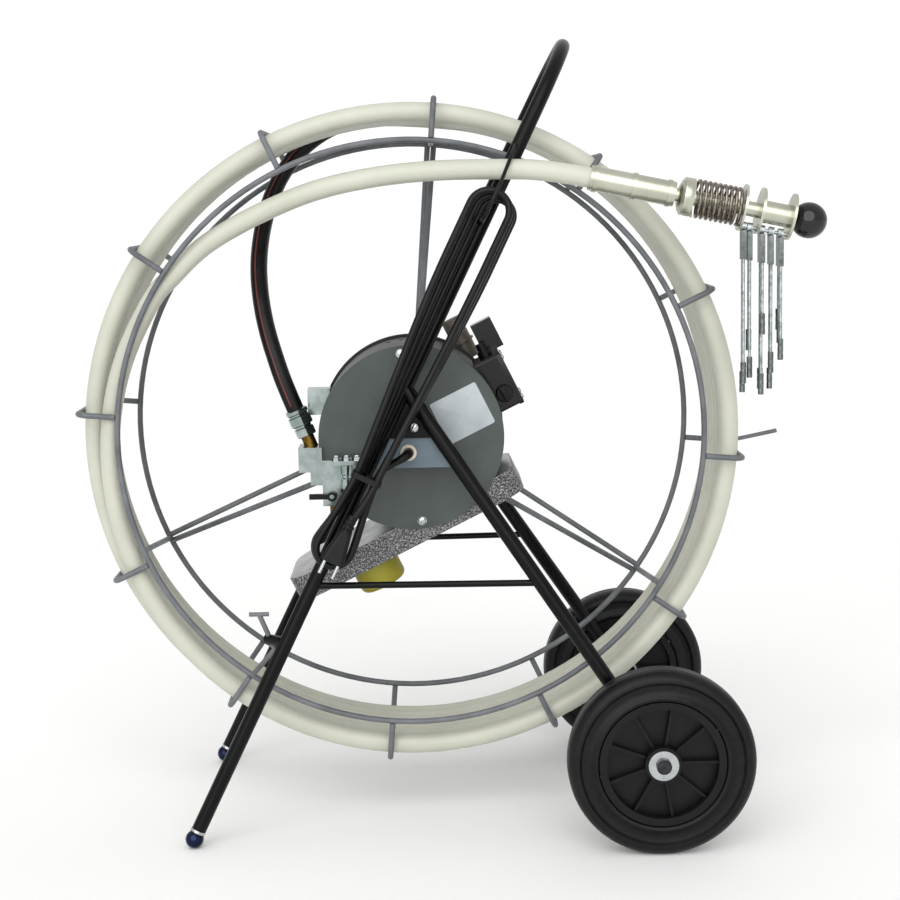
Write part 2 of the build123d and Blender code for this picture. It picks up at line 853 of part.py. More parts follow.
# Capacitor beside the motor
with BuildPart() as capacitor:
    rod(
        tilted(capacitor_station, capacitor_bottom, capacitor_side),
        tilted(capacitor_station, capacitor_top, capacitor_side),
        capacitor_diameter,
    )
    rod(
        tilted(capacitor_station, capacitor_band_height, capacitor_side),
        tilted(capacitor_station, capacitor_band_height + capacitor_band_width, capacitor_side),
        capacitor_band_diameter,
    )
    crossbar(0, 0, motor_front, motor_back, motor_diameter + 2 * weld_gap, Mode.SUBTRACT)
save(capacitor.part, "capacitor")

# Switch box with its saddle on the drum and a hood on top, its lid, gland and knob
with BuildPart() as switch_box:
    tilted_block((box_inner, box_outer), (box_bottom, box_top), (box_front, box_back))
    fillet(switch_box.edges().filter_by(Axis(tilted(0, 0, 0), tilt_right)), box_rounding)
    cut_drum()
    hood_sides = (box_back - hood_depth, box_back)
    hood_foot = box_top + lid_margin + seat_gap
    tilted_block((hood_left, box_outer), (box_top - box_rounding, hood_foot), hood_sides)
    tilted_block((hood_left, hood_right), (hood_foot, box_top + hood_height), hood_sides)
save(switch_box.part, "switch_box")

with BuildPart() as switch_lid:
    lid_rise = (box_bottom - lid_margin, box_top + lid_margin)
    lid_sides = (box_front - lid_margin, box_back + lid_margin)
    tilted_block((box_outer, box_outer + lid_thickness), lid_rise, lid_sides)
    fillet(switch_lid.edges().filter_by(Axis(tilted(0, 0, 0), tilt_right)), box_rounding + lid_margin)
save(switch_lid.part, "switch_lid")

with BuildPart() as cable_gland:
    gland_foot = tilted(gland_station, box_top, gland_side)
    rod(gland_foot, gland_foot + tilt_up * gland_nut_height, gland_diameter)
    rod(gland_foot, gland_foot + tilt_up * gland_height, gland_neck_diameter)
save(cable_gland.part, "cable_gland")

knob_seat = tilted(*knob_station, box_front - wheel_play)
with BuildPart() as switch_knob:
    rod(knob_seat, knob_seat - away * knob_height, knob_diameter)
    fillet(switch_knob.edges().filter_by(GeomType.CIRCLE).sort_by(Axis.Y)[0], knob_rounding)
save(switch_knob.part, "switch_knob")

# Valve body: a block beside the drum, a tab on the drum's face and a flange across it
valve_front = drum_front - valve_tab_thickness
valve_width, valve_depth, valve_height = valve_size
valve_sides = (valve_front, valve_front + valve_depth)
tab_top = valve_top - valve_tab_drop
tab_left = valve_axis_x
tab_right = valve_axis_x + valve_tab_reach
foot_left = valve_axis_x + valve_width / 2
foot_right = foot_left + valve_foot_width
foot_bottom = valve_top - valve_foot_drop
lever_x = valve_axis_x + lever_offset
lever_level = valve_top - lever_drop
with BuildPart() as valve_body:
    block((valve_axis_x - valve_width / 2, foot_left), valve_sides, (valve_top - valve_height, valve_top))
    cut_drum()
    tab_sides = (valve_front, drum_front)
    block((tab_left, tab_right), tab_sides, (tab_top - valve_height, tab_top))
    block((foot_left, foot_right), tab_sides, (foot_bottom, tab_top))
    flange_sides = (drum_front - flange_depth, drum_front)
    block((tab_right - flange_width, tab_right), flange_sides, (tab_top - flange_thickness, tab_top))
    lever_pin_end = valve_front - lever_thickness - wheel_play
    crossbar(lever_x, lever_level, valve_front, lever_pin_end, lever_pin_diameter)
save(valve_body.part, "valve_body")

with BuildPart() as flange_bolts:
    for number in range(flange_bolt_count):
        bolt_place = (number - (flange_bolt_count - 1) / 2) * flange_bolt_spacing
        bolt_seat = place(tab_right - flange_width / 2 + bolt_place, drum_front - flange_depth / 2, tab_top)
        with BuildSketch(Plane(origin=bolt_seat, z_dir=up)):
            RegularPolygon(flange_bolt_size / 2, 6, major_radius=False)
        extrude(amount=flange_bolt_height)
save(flange_bolts.part, "flange_bolts")

# Brass barrel on the valve and a nipple under its tab
barrel_foot = place(valve_axis_x, drum_front + valve_axis_depth, valve_top)
barrel_top = barrel_foot + fitting_up * brass_length
nipple_top = place((foot_left + foot_right) / 2, (valve_front + drum_front) / 2, foot_bottom)
with BuildPart() as brass_fittings:
    rod(barrel_foot - fitting_up * brass_diameter / 2, barrel_top, brass_diameter)
    rod(nipple_top, nipple_top - up * nipple_length, nipple_diameter)
    barrel_space = (valve_axis_x - valve_width, valve_axis_x + valve_width)
    block(barrel_space, valve_sides, (valve_top - valve_height, valve_top), Mode.SUBTRACT)
save(brass_fittings.part, "brass_fittings")

# Nuts that hold the feed hose
nut_top = barrel_top + fitting_up * (small_nut_height + large_nut_height)
with BuildPart() as hose_nut:
    with BuildSketch(Plane(origin=barrel_top, z_dir=fitting_up)):
        RegularPolygon(small_nut_size / 2, 6, major_radius=False)
    extrude(amount=small_nut_height)
    with BuildSketch(Plane(origin=barrel_top + fitting_up * small_nut_height, z_dir=fitting_up)):
        RegularPolygon(large_nut_size / 2, 6, major_radius=False)
    extrude(amount=large_nut_height)
save(hose_nut.part, "hose_nut")

# Clamp block on the drum's side
with BuildPart() as clamp_block:
    clamp_left = valve_axis_x - clamp_offset
    clamp_front = drum_front + clamp_inset
    clamp_level = valve_top + clamp_rise
    block(
        (clamp_left, clamp_left + clamp_width),
        (clamp_front, clamp_front + clamp_depth),
        (clamp_level - clamp_height / 2, clamp_level + clamp_height / 2),
    )
    cut_drum()
save(clamp_block.part, "clamp_block")

# Valve lever on its pin
with BuildPart() as valve_lever:
    lever_sides = (valve_front - wheel_play - lever_thickness, valve_front - wheel_play)
    lever_heights = (lever_level - lever_width / 2, lever_level + lever_width / 2)
    block((lever_x - lever_length, lever_x), lever_sides, lever_heights)
    crossbar(lever_x, lever_level, *lever_sides, lever_width + lever_pin_diameter)
    crossbar(lever_x, lever_level, *lever_sides, lever_pin_diameter + 2 * running_fit, Mode.SUBTRACT)
save(valve_lever.part, "valve_lever")


def coil_point(turned):
    """A point of the hose on the reel, by the angle turned back from where the hose leaves the coil."""
    share = max(0, stub_lead - turned) / (stub_lead + stub_angle)
    radius = coil_radius - stub_drop * share ** stub_drop_power - stub_late_drop * share ** stub_late_power
    return around(radius, coil_leave_angle + turned, coil_near_lane + coil_pitch * max(0, turned) / 360)


def coil_station(turned):
    """A point of the coil and the direction in which the hose runs out there."""
    small_step = 0.01
    ahead = coil_point(turned - small_step)
    behind = coil_point(turned + small_step)
    return coil_point(turned), (ahead - behind).normalized()


# Hose coil: the turns in the cage and the stub that leads inside the near ring
quarter_turn = 90
coil_quarters = int(coil_turned_angle / quarter_turn) + 1
coil_turns = [coil_turned_angle - quarter_turn * step for step in range(coil_quarters)]
stub_turns = [-stub_angle * step / stub_steps for step in range(1, stub_steps + 1)]
coil_stations = [coil_station(turned) for turned in coil_turns + stub_turns]
coil_first, coil_first_way = coil_stations[0]
coil_last, coil_last_way = coil_stations[-1]
coil_entry = coil_first - coil_first_way * hose_diameter
stub_end = coil_last + coil_last_way * hose_diameter
coil_stations = [(coil_entry, coil_first_way)] + coil_stations + [(stub_end, coil_last_way)]
coil_edges = winding_edges(coil_stations)
with BuildPart() as hose_coil:
    with BuildLine() as coil_path:
        add(coil_edges)
    with BuildSketch(Plane(origin=coil_entry, z_dir=coil_first_way)):
        Circle(hose_diameter / 2)
    sweep()
save(hose_coil.part, "hose_coil")
print_self_gap("hose_coil", coil_edges, hose_diameter)
print(f"hose_coil: length {sum(edge.length for edge in coil_edges):.0f} mm")

# Free end of the hose, from the stub to the sleeve
sleeve_foot = head_at(0)
hose_points = [stub_end, stub_end + coil_last_way * hose_first_run]
hose_points += across(hose_route, stub_end, sleeve_foot)
hose_points += [sleeve_foot - head_forward * hose_last_run, sleeve_foot]
hose_radii = corner_radii(hose_points)
with BuildPart() as hose_end:
    with BuildLine() as hose_path:
        FilletPolyline(*hose_points, radius=hose_radii)
    with BuildSketch(Plane(origin=stub_end, z_dir=coil_last_way)):
        Circle(hose_diameter / 2)
    sweep()
save(hose_end.part, "hose_end")
report_route("hose_end", hose_points, hose_radii, hose_end.part, hose_diameter)

# Feed hose from the nut to the coil
feed_points = [nut_top, nut_top + fitting_up * feed_first_run]
feed_points += across(feed_route, nut_top, coil_entry)
feed_points += [coil_entry - coil_first_way * feed_last_run, coil_entry]
feed_radii = corner_radii(feed_points)
with BuildPart() as feed_hose:
    with BuildLine() as feed_path:
        FilletPolyline(*feed_points, radius=feed_radii)
    with BuildSketch(Plane(origin=nut_top, z_dir=fitting_up)):
        Circle(feed_diameter / 2)
    sweep()
save(feed_hose.part, "feed_hose")
report_route("feed_hose", feed_points, feed_radii, feed_hose.part, feed_diameter)

# Crimped sleeve on the hose end, bored for the head's neck
with BuildPart() as hose_sleeve:
    rod(head_at(0), head_at(sleeve_length), sleeve_diameter)
    for station in crimp_stations:
        rod(head_at(station), head_at(station + crimp_width), crimp_diameter)
    rod(
        head_at(sleeve_length - neck_depth - seat_gap),
        head_at(sleeve_length + cut_overrun),
        neck_diameter + 2 * running_fit,
        Mode.SUBTRACT,
    )
save(hose_sleeve.part, "hose_sleeve")

# Head spindle: neck, collar, shaft, flange plate, discs and core
disc_stations = (disc_one, disc_two)
with BuildPart() as head_spindle:
    rod(head_at(sleeve_length - neck_depth), head_at(collar_station), neck_diameter)
    rod(head_at(collar_station), head_at(collar_station + collar_width), collar_diameter)
    rod(head_at(collar_station), head_at(ball_end_station - ball_end_diameter / 4), head_shaft_diameter)
    rod(head_at(flange_plate_station), head_at(flange_plate_station + flange_plate_width), disc_diameter)
    for station in disc_stations:
        rod(head_at(station), head_at(station + disc_width), disc_diameter)
    rod(head_at(disc_one), head_at(disc_two), core_diameter)
save(head_spindle.part, "head_spindle")

# Spring round the head's shaft
spring_start = collar_station + collar_width + spring_gap + spring_wire / 2
spring_end = flange_plate_station - spring_gap - spring_wire / 2
spring_radius = (spring_diameter - spring_wire) / 2


def spring_point(turned):
    """A point of the spring by the angle turned from its start."""
    station = spring_start + (spring_end - spring_start) * turned / (360 * spring_turns)
    return head_at(station) + (head_down * cos(radians(turned)) + away * sin(radians(turned))) * spring_radius


def spring_station(turned):
    """A point of the spring and its direction there."""
    small_step = 0.01
    way = spring_point(turned + small_step) - spring_point(turned - small_step)
    return spring_point(turned), way.normalized()


spring_stations = [spring_station(quarter_turn * step) for step in range(4 * spring_turns + 1)]
spring_first, spring_first_way = spring_stations[0]
spring_last, spring_last_way = spring_stations[-1]
spring_stations.insert(0, (spring_first - spring_first_way * spring_wire, spring_first_way))
spring_stations.append((spring_last + spring_last_way * spring_wire, spring_last_way))
spring_edges = winding_edges(spring_stations)
with BuildPart() as head_spring:
    with BuildLine() as spring_path:
        add(spring_edges)
    with BuildSketch(Plane(origin=spring_stations[0][0], z_dir=spring_first_way)):
        Circle(spring_wire / 2)
    sweep()
save(head_spring.part, "head_spring")
print_self_gap("head_spring", spring_edges, spring_wire)

# Pins that carry the flails between the plates
front_pin_start = flange_plate_station + flange_plate_width
back_pin_start = disc_one + disc_width
pin_spans = ((front_pin_start, disc_one), (back_pin_start, disc_two))
with BuildPart() as flail_pins:
    for first, last in pin_spans:
        rod(head_at(first, pin_depth), head_at(last, pin_depth), pin_diameter)
save(flail_pins.part, "flail_pins")

# Ball at the end of the head
with BuildPart() as head_ball:
    with Locations(head_at(ball_end_station)):
        Sphere(ball_end_diameter / 2)
    rod(
        head_at(disc_two),
        head_at(ball_end_station - ball_end_diameter / 4 + seat_gap),
        head_shaft_diameter + 2 * weld_gap,
        Mode.SUBTRACT,
    )
save(head_ball.part, "head_ball")

# Flails: an eye on the pin, a ferrule under it and crimped wires hanging from that
flail_stations = [front_pin_start + step for step in front_flail_places]
flail_stations += [back_pin_start + step for step in back_flail_places]
for number, (station, wires) in enumerate(zip(flail_stations, flail_wires), start=1):
    pivot = head_at(station, pin_depth)
    eye_half = head_forward * flail_width / 2
    ferrule_width = flail_wire_spacing * len(wires)
    with BuildPart() as flail:
        rod(pivot - eye_half, pivot + eye_half, flail_eye_diameter)
        with BuildSketch(Plane(origin=pivot - up * flail_ferrule_drop, z_dir=-up, x_dir=(1, 0, 0))):
            RectangleRounded(flail_ferrule_thickness, ferrule_width, flail_ferrule_thickness / 3)
        extrude(amount=flail_ferrule_length)
        for position, length in enumerate(wires):
            top = pivot + away * flail_wire_spacing * (position - (len(wires) - 1) / 2)
            rod(top - up * flail_ferrule_length / 2, top - up * length, flail_wire_diameter)
            rod(top - up * (length - flail_tip_length), top - up * length, flail_tip_diameter)
        rod(pivot - eye_half * 2, pivot + eye_half * 2, pin_diameter + 2 * running_fit, Mode.SUBTRACT)
    save(flail.part, f"flail_{number}")

# Lock hook: a T bar, a stem through the lug and an arm that lies over the near ring
with BuildPart() as lock_hook:
    bar_half = Vector(hook_bar_length / 2, 0, 0)
    rod(hook_stem_top - bar_half, hook_stem_top + bar_half, hook_bar_diameter)
    rod(hook_stem_top, hook_stem_end, hook_rod_diameter)
    with Locations(hook_stem_end):
        Sphere(hook_rod_diameter / 2)
    tip_x, tip_level = hook_tip
    tip_side = -cage_side - rod_radius - hook_rod_diameter
    rod(hook_stem_end, place(tip_x, tip_side, tip_level), hook_rod_diameter)
save(lock_hook.part, "lock_hook")

# Mains cable hank: loops that lie the same way, one behind the other
hank_foot = outside(*hank_bottom)
hank_run = outside(*hank_top) - hank_foot
hank_up = hank_run.normalized()
hank_right = hank_up.cross(-away).normalized()
hank_out = hank_right.cross(hank_up)


def hank_point(rise, right, out):
    """A point in the hank's own axes."""
    return hank_foot + hank_up * rise + hank_right * right + hank_out * out


last_level = hank_loops * hank_step + plug_lift
hank_shoulder = hank_run.length - hank_top_drop
hank_stations = [(hank_point(hank_start, hank_half_width, 0), -hank_up)]
for loop in range(hank_loops):
    level = loop * hank_step
    next_level = level + hank_step if loop < hank_loops - 1 else last_level
    hank_stations += [
        (hank_point(0, hank_bottom_half_width, level), -hank_up),
        (hank_point(0, -hank_bottom_half_width, level), hank_up),
        (hank_point(hank_start, -hank_half_width, level), hank_up),
        (hank_point(hank_waist_rise, -hank_half_width, level), hank_up),
        (hank_point(hank_flare_rise, -hank_top_half_width, level), hank_up),
        (hank_point(hank_shoulder, -hank_top_half_width, level), hank_up),
        (hank_point(hank_shoulder, hank_top_half_width, level), -hank_up),
        (hank_point(hank_flare_rise, hank_top_half_width, level), -hank_up),
        (hank_point(hank_waist_rise, hank_half_width, next_level), -hank_up),
        (hank_point(hank_start, hank_half_width, next_level), -hank_up),
    ]
hank_stations.append((hank_point(hank_end, plug_side, last_level), -hank_up))
hank_edges = winding_edges(hank_stations)
with BuildPart() as cable_hank:
    with BuildLine() as hank_path:
        add(hank_edges)
    with BuildSketch(Plane(origin=hank_stations[0][0], z_dir=-hank_up)):
        Circle(cable_diameter / 2)
    sweep()
save(cable_hank.part, "cable_hank")
print_self_gap("cable_hank", hank_edges, cable_diameter)
print(f"cable_hank: length {sum(edge.length for edge in hank_edges):.0f} mm")

# Lead from the grommet to the hank
lead_start = place(grommet_x, grommet_front, grommet_level)
lead_end = hank_stations[0][0]
lead_points = [lead_start, lead_start - away * lead_first_run]
lead_points += [outside(*point) for point in lead_route]
lead_points += [lead_end + hank_up * lead_last_run, lead_end]
lead_radii = corner_radii(lead_points)
with BuildPart() as power_lead:
    with BuildLine() as lead_path:
        FilletPolyline(*lead_points, radius=lead_radii)
    with BuildSketch(Plane(origin=lead_start, z_dir=-away)):
        Circle(cable_diameter / 2)
    sweep()
save(power_lead.part, "power_lead")
report_route("power_lead", lead_points, lead_radii, power_lead.part, cable_diameter)

# Cable tie round the hank
tie_inner_width = 2 * hank_half_width + cable_diameter + 2 * tie_clearance
tie_inner_depth = last_level + cable_diameter + 2 * tie_clearance
with BuildPart() as cable_tie:
    tie_foot = hank_point(tie_station, 0, last_level / 2)
    with BuildSketch(Plane(origin=tie_foot, x_dir=hank_right, z_dir=hank_up)):
        RectangleRounded(
            tie_inner_width + 2 * tie_thickness,
            tie_inner_depth + 2 * tie_thickness,
            cable_diameter / 2 + tie_thickness,
        )
        RectangleRounded(tie_inner_width, tie_inner_depth, cable_diameter / 2, mode=Mode.SUBTRACT)
    extrude(amount=tie_width)
save(cable_tie.part, "cable_tie")

# Plug on the end of the cable
plug_top = hank_stations[-1][0]
plug_bottom = plug_top - hank_up * plug_length
with BuildPart() as plug_body:
    with BuildSketch(Plane(origin=plug_bottom, x_dir=hank_right, z_dir=hank_up)) as plug_foot:
        RectangleRounded(plug_width, plug_depth, plug_rounding)
    with BuildSketch(Plane(origin=plug_top, x_dir=hank_right, z_dir=hank_up)):
        RectangleRounded(plug_top_width, plug_top_depth, plug_rounding)
    loft()
save(plug_body.part, "plug_body")

with BuildPart() as plug_pins:
    for sign in (-1, 1):
        pin_foot = plug_bottom + hank_right * sign * plug_pin_spacing / 2
        rod(pin_foot, pin_foot - hank_up * plug_pin_length, plug_pin_diameter)
save(plug_pins.part, "plug_pins")

# Strap from the tube over the hose and through the hank
strap_points = [outside(*point) for point in strap_route]
strap_radii = corner_radii(strap_points)
with BuildPart() as hank_strap:
    with BuildLine() as strap_path:
        FilletPolyline(*strap_points, radius=strap_radii)
    with BuildSketch(Plane(origin=strap_points[0], z_dir=strap_points[1] - strap_points[0])):
        Circle(strap_diameter / 2)
    sweep()
save(hank_strap.part, "hank_strap")
report_route("hank_strap", strap_points, strap_radii, hank_strap.part, strap_diameter)

# Places that the record needs
for name, spot in (
    ("reel axis", place(0, 0, 0)),
    ("wheel axle", place(axle_reach, 0, axle_level)),
    ("head axis", head_at(collar_station)),
    ("knob", knob_seat),
    ("lever", place(lever_x, valve_front, lever_level)),
    ("hook stem", hook_stem_top),
    ("hook way", (hook_stem_end - hook_stem_top).normalized()),
    ("pin foot", plug_bottom),
    ("pin way", -hank_up),
    ("pin across", hank_right),
    ("stub end", stub_end),
    ("grommet", lead_start),
):
    print(f"{name}: {spot.X:.3f} {spot.Y:.3f} {spot.Z:.3f}")
for number, station in enumerate(flail_stations, start=1):
    pivot = head_at(station, pin_depth)
    print(f"flail {number} pivot: {pivot.X:.3f} {pivot.Y:.3f} {pivot.Z:.3f}")
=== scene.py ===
import json
from math import cos, pi, radians, sin, tan

import bpy
from mathutils import Matrix, Vector


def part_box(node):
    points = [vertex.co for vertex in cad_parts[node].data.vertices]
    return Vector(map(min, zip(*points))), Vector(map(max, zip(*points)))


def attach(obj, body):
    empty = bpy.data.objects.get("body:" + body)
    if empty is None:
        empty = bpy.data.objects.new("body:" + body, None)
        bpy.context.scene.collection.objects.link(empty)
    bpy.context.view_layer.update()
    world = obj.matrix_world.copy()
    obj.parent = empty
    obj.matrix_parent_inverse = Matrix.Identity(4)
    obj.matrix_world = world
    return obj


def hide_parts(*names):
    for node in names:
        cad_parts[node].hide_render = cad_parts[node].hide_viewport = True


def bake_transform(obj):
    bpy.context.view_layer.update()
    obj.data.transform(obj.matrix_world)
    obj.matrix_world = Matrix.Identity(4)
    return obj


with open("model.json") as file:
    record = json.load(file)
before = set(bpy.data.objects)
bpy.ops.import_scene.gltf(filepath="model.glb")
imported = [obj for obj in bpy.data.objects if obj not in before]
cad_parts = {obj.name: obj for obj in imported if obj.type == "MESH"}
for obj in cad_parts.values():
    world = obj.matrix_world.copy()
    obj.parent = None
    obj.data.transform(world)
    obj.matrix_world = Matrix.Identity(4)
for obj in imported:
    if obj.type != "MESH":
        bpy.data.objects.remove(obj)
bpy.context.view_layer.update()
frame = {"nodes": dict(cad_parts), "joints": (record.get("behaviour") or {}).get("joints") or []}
nodes = frame["nodes"]

# Sizes are in millimetres, and points are counted from the middle of the reel's axis, as in the CAD source.
MILLIMETRE = 0.001
joint_places = {joint["name"]: Vector(joint["pos_m"]) for joint in frame["joints"]}
HUB = joint_places["reel_spin"]

# Camera, in metres from the reel's axis and radians, found from the two cage rings, the wheels and the feet
CAMERA_PLACE = HUB + Vector((0.028, -2.545, 0.323))
CAMERA_PITCH = 0.139
CAMERA_YAW = 0.010
CAMERA_ROLL = -0.020
CAMERA_LENS = 72
CAMERA_SENSOR = 36

# Frame, drum and head sizes that the pieces below sit on
BOW_SPREAD = 234
FOOT_SPREAD = 382
FOOT_REACH = 306
BOW_REACH = 171
BOW_RISE = 430
FOOT_LEVEL = -532.5
HUB_TILT = 26
DRUM_RADIUS = 127
DRUM_FRONT = -107
HEAD_TILT = 12

# Cords: the hose on the reel, its free end, the feed hose, the mains cable and the strap, all with the CAD
# source's points
HOSE_DIAMETER = 27
COIL_PITCH = 28
COIL_RADIUS = 440
COIL_NEAR_LANE = -80.5
COIL_LEAVE_ANGLE = 235
COIL_TURNED_ANGLE = 2015
COIL_STEP = 15
STUB_ANGLE = 89
STUB_LEAD = 30
STUB_DROP = 42
STUB_POWER = 1.6
STUB_LATE_DROP = 5
STUB_LATE_POWER = 18
HOSE_ROUTE = [
    (-247, 0.03, 284), (-190, 0.15, 312), (-122, 0.32, 338), (-46, 0.5, 353), (32, 0.72, 360),
    (110, 0.93, 360),
]
HOSE_FIRST_RUN = 28
HOSE_LAST_RUN = 57
SLEEVE_PLACE = (243, 27.5, 346)
FEED_DIAMETER = 24
FEED_ROUTE = [
    (-184, 0.056, 108), (-196, 0.16, 145), (-205, 0.305, 183), (-210, 0.465, 222), (-210, 0.62, 256),
    (-205, 0.76, 292), (-195, 0.88, 329), (-177, 0.95, 365), (-154.5, 0.99, 393.5), (-126.5, 1, 416),
    (-94, 1.002, 432),
]
FEED_FIRST_RUN = 36
FEED_LAST_RUN = 32
FITTING_LEAN = 22
FITTING_PLACE = (-138.5, -85, -10)
FITTING_HEIGHT = 54
STRIPE_WAY = Vector((-0.35, -1, 0.2))
STRIPE_REACH = 11.3
STRIPE_WIDTH = 3
CABLE_DIAMETER = 10
HANK_BOTTOM = (-106, 17.4, -135)
HANK_TOP = (118, 16.5, 317)
HANK_HALF_WIDTH = 14
# Left and right side of each loop at the foot, the waist and the top, fanned out as in the photograph
HANK_FOOT_SIDES = [(-26, 26), (-25, 25), (-23, 24)]
HANK_WAIST_SIDES = [(-6, 14), (-10, 14), (-14, 14)]
HANK_TOP_SIDES = [(-12, 32), (-21, 28), (-30, 24)]
HANK_TOP_DROP = 16
HANK_WAIST_RISE = 120
HANK_FLARE_RISE = 355
HANK_STEP = 11.4
HANK_START = 86
HANK_END = 28
PLUG_SIDE = 5
PLUG_LIFT = 4
FOLD_STEP = 30
LEAD_ROUTE = [(-30, 17.2, -29)]
LEAD_FIRST_RUN = 24
LEAD_LAST_RUN = 33
STRAP_DIAMETER = 5
STRAP_ROUTE = [
    (147, 13, 391), (143, 29.5, 384), (134, 45.8, 363), (124, 61.2, 341), (113, 66.5, 319), (104, 57.9, 299),
    (99, 32.3, 291), (98, 10.4, 289),
]

# Wheels. A turned shape is a list of pairs, station along the axis and radius, here and below
WHEEL_SIDE = 242
TYRE_HALF = [
    (0, 125), (6.5, 125), (7.2, 123.6), (9, 123.6), (9.7, 124.9), (15, 124.2), (19.5, 121.6), (23, 117.5),
    (24.6, 113.5), (24.2, 110.5), (22, 108.8), (19.8, 107), (18.6, 101), (19.4, 94.5), (21.4, 92.2),
    (22.6, 89.5), (21.8, 86.2), (19, 84.3),
]

# Turned pieces on the head, the lid, the near plate, the plug, the feet and the valve
COLLAR_SHAPE = [
    (119, 0), (119, 14), (121.5, 20.5), (125, 25.2), (126.6, 25.4), (127.3, 24), (129.2, 24), (130, 25.4),
    (137, 25.4), (138.2, 24.6), (138.2, 0),
]
LID_SCREW_SHAPE = [(-0.3, 0), (-0.3, 4.2), (0.9, 4.2), (2, 3.2), (2.5, 1.2), (2.6, 0)]
GROMMET_SHAPE = [(0, 10.8), (1.2, 10.4), (1.8, 9), (1.6, 7.2), (0, 6.4), (0, 10.8)]
NECK_SHAPE = [
    (-1, 0), (-1, 8.2), (3, 8.2), (4, 6.9), (6, 6.9), (7, 7.8), (10, 7.6), (11, 6.5), (13, 6.5), (14, 7.2),
    (17, 7), (18, 6.1), (24, 5.5), (24, 0),
]
BOOT_THICKNESS = (1.4, 1.25, 1.05)
FOOT_COLLAR_SHAPE = [(9.6, 0), (9.6, 9.6), (10.6, 10.6), (13.4, 10.6), (14.2, 10.2), (14.2, 0)]
NUT_SHAPE = [
    (0, 0), (0, 12.6), (1.2, 15), (12, 15), (13.2, 12.8), (16, 12.8), (16, 15), (17.5, 17.2), (29, 17.2),
    (30.5, 15), (32.5, 15), (34, 17.2), (38.5, 17.2), (40, 14.5), (40, 0),
]
NUT_HEIGHT = 40
BARREL_SHAPE = [
    (0, 0), (0, 7.4), (1, 8.4), (13, 8.4), (14.5, 6.8), (18, 6.8), (19.5, 8.4), (33, 8.4), (35, 6.4),
    (46, 6.4), (48, 5), (48, 0),
]
BARREL_TOP = (-89, -114, -33.8)

# Domed screws and bolts on the drum, the valve's flange and the corner plates
COVER_SCREW_SHAPE = [(0, 0), (0, 7), (1.2, 7), (2.6, 5.9), (3.5, 4), (3.9, 2), (4, 0)]
COVER_SCREW_RADIUS = 116
COVER_SCREW_ANGLES = (96, 276)
FLANGE_BOLT_SHAPE = [(0, 0), (0, 6.3), (4.4, 6.3), (5.4, 5.2), (7, 4.2), (7.8, 2.2), (8, 0)]
FLANGE_BOLTS = [(-102, -115.5, -28), (-88, -115.5, -28), (-74, -115.5, -28)]
PLATE_BOLT_SHAPE = [(0, 0), (0, 7.5), (2.5, 7.5), (4.8, 6.3), (6.2, 4.2), (6.8, 2.1), (7, 0)]
PLATE_BOLT_HEIGHT = 7

# Flails: the length of each wire under its pin, the crimped sleeve at its top and the ferrule at its end
FLAIL_WIRES = ((208, 221), (199, 163), (138, 219, 212), (187, 209), (167, 145, 128))
FLAIL_SPACING = 7.8
CRIMP_DROP = 24
CRIMP_MARGIN = 0.3
CRIMP_HEIGHT = 38.3
CRIMP_THICKNESS = 6.2
CRIMP_CORNER = 0.5
CRIMP_EDGE = 0.3
FERRULE_SHAPE = [
    (0, 0), (0, 3.3), (0.7, 3.85), (7, 3.85), (8, 3.66), (10, 3.66), (11, 3.85), (17, 3.85), (18, 3.66),
    (20, 3.66), (21, 3.85), (27.5, 3.85), (28.2, 3.2), (28.2, 0),
]

# Steps round a turned piece, and how meshes are finished
TYRE_STEPS = 96
ROUND_STEPS = 64
COLLAR_STEPS = 48
BOLT_STEPS = 32
SMALL_STEPS = 24
HEXAGON = 6
MERGE_DISTANCE = 0.02
CORNER_SEGMENTS = 6
CORD_SMOOTH_ANGLE = 40
PIECE_SMOOTH_ANGLE = 35

# Plates and blocks on the drum, its casting and the switch box, in the drum's tilted axes
LABEL_PLACE = (77, -2)
LABEL_SIZE = (70, 62, 0.8)
LABEL_CORNER = 3
LABEL_EDGE = 0.4
CASTING_TOP = -103.2
CASTING_MIDDLE = (-70, -7.5)
CASTING_SIZE = (348, 189, 0.8)
CASTING_CORNER = 37
CASTING_EDGE = 0.6
LID_FACE = 160
LID_MIDDLE = (156, 5.5, -7)
LID_SIZE = (89, 80, 6)
LID_CORNER = 5.5
LID_CHAMFER = 2
LID_SCREWS = [(-25, -42), (-25, 28), (36, -42), (36, 28)]
KNOB_PLACE = (140, -10, -63.2)
KNOB_BAR = (8, 21, 5)
KNOB_BAR_CORNER = 3.5
KNOB_BAR_EDGE = 1.2
# Black plates on the drum's wall for its slots: painted shade for the dark inside of the openings
DRUM_SLOTS = (88, 96, 104)
SLOT_SIZE = (5, 26, 1)
SLOT_CORNER = 2.2
SLOT_EDGE = 0.3
SLOT_SIDE = 4

# Depths at which the motor's and the drum's enamel change colour
FLANGE_BACK = 49.5
DRUM_FACE = -104

# Floor in metres, and light: the surround that lights the object, the whiter one that the camera sees behind
# it, and the sun
FLOOR_SIZE = 60
SURROUND_STRENGTH = 0.8
BACKDROP_STRENGTH = 1.05
SUN_STRENGTH = 2.0
SUN_ANGLE = 70
SUN_WAY = Vector((0.2, 1, -0.55))


def place(x, y, z):
    """A point counted from the middle of the reel's axis."""
    return HUB + Vector((x, y, z)) * MILLIMETRE


def outside(x, out, rise):
    """A point counted outward from the near main tube's centre line."""
    share = (BOW_RISE - rise) / (BOW_RISE - FOOT_LEVEL)
    return place(x, -(BOW_SPREAD + (FOOT_SPREAD - BOW_SPREAD) * share) / 2 - out, rise)


def across(route, start, end):
    """The points of a hose's route, given as x, the share of the way across from end to end, and z."""
    points = []
    for x, share, rise in route:
        spot = place(x, 0, rise)
        spot.y = start.y + (end.y - start.y) * share
        points.append(spot)
    return points


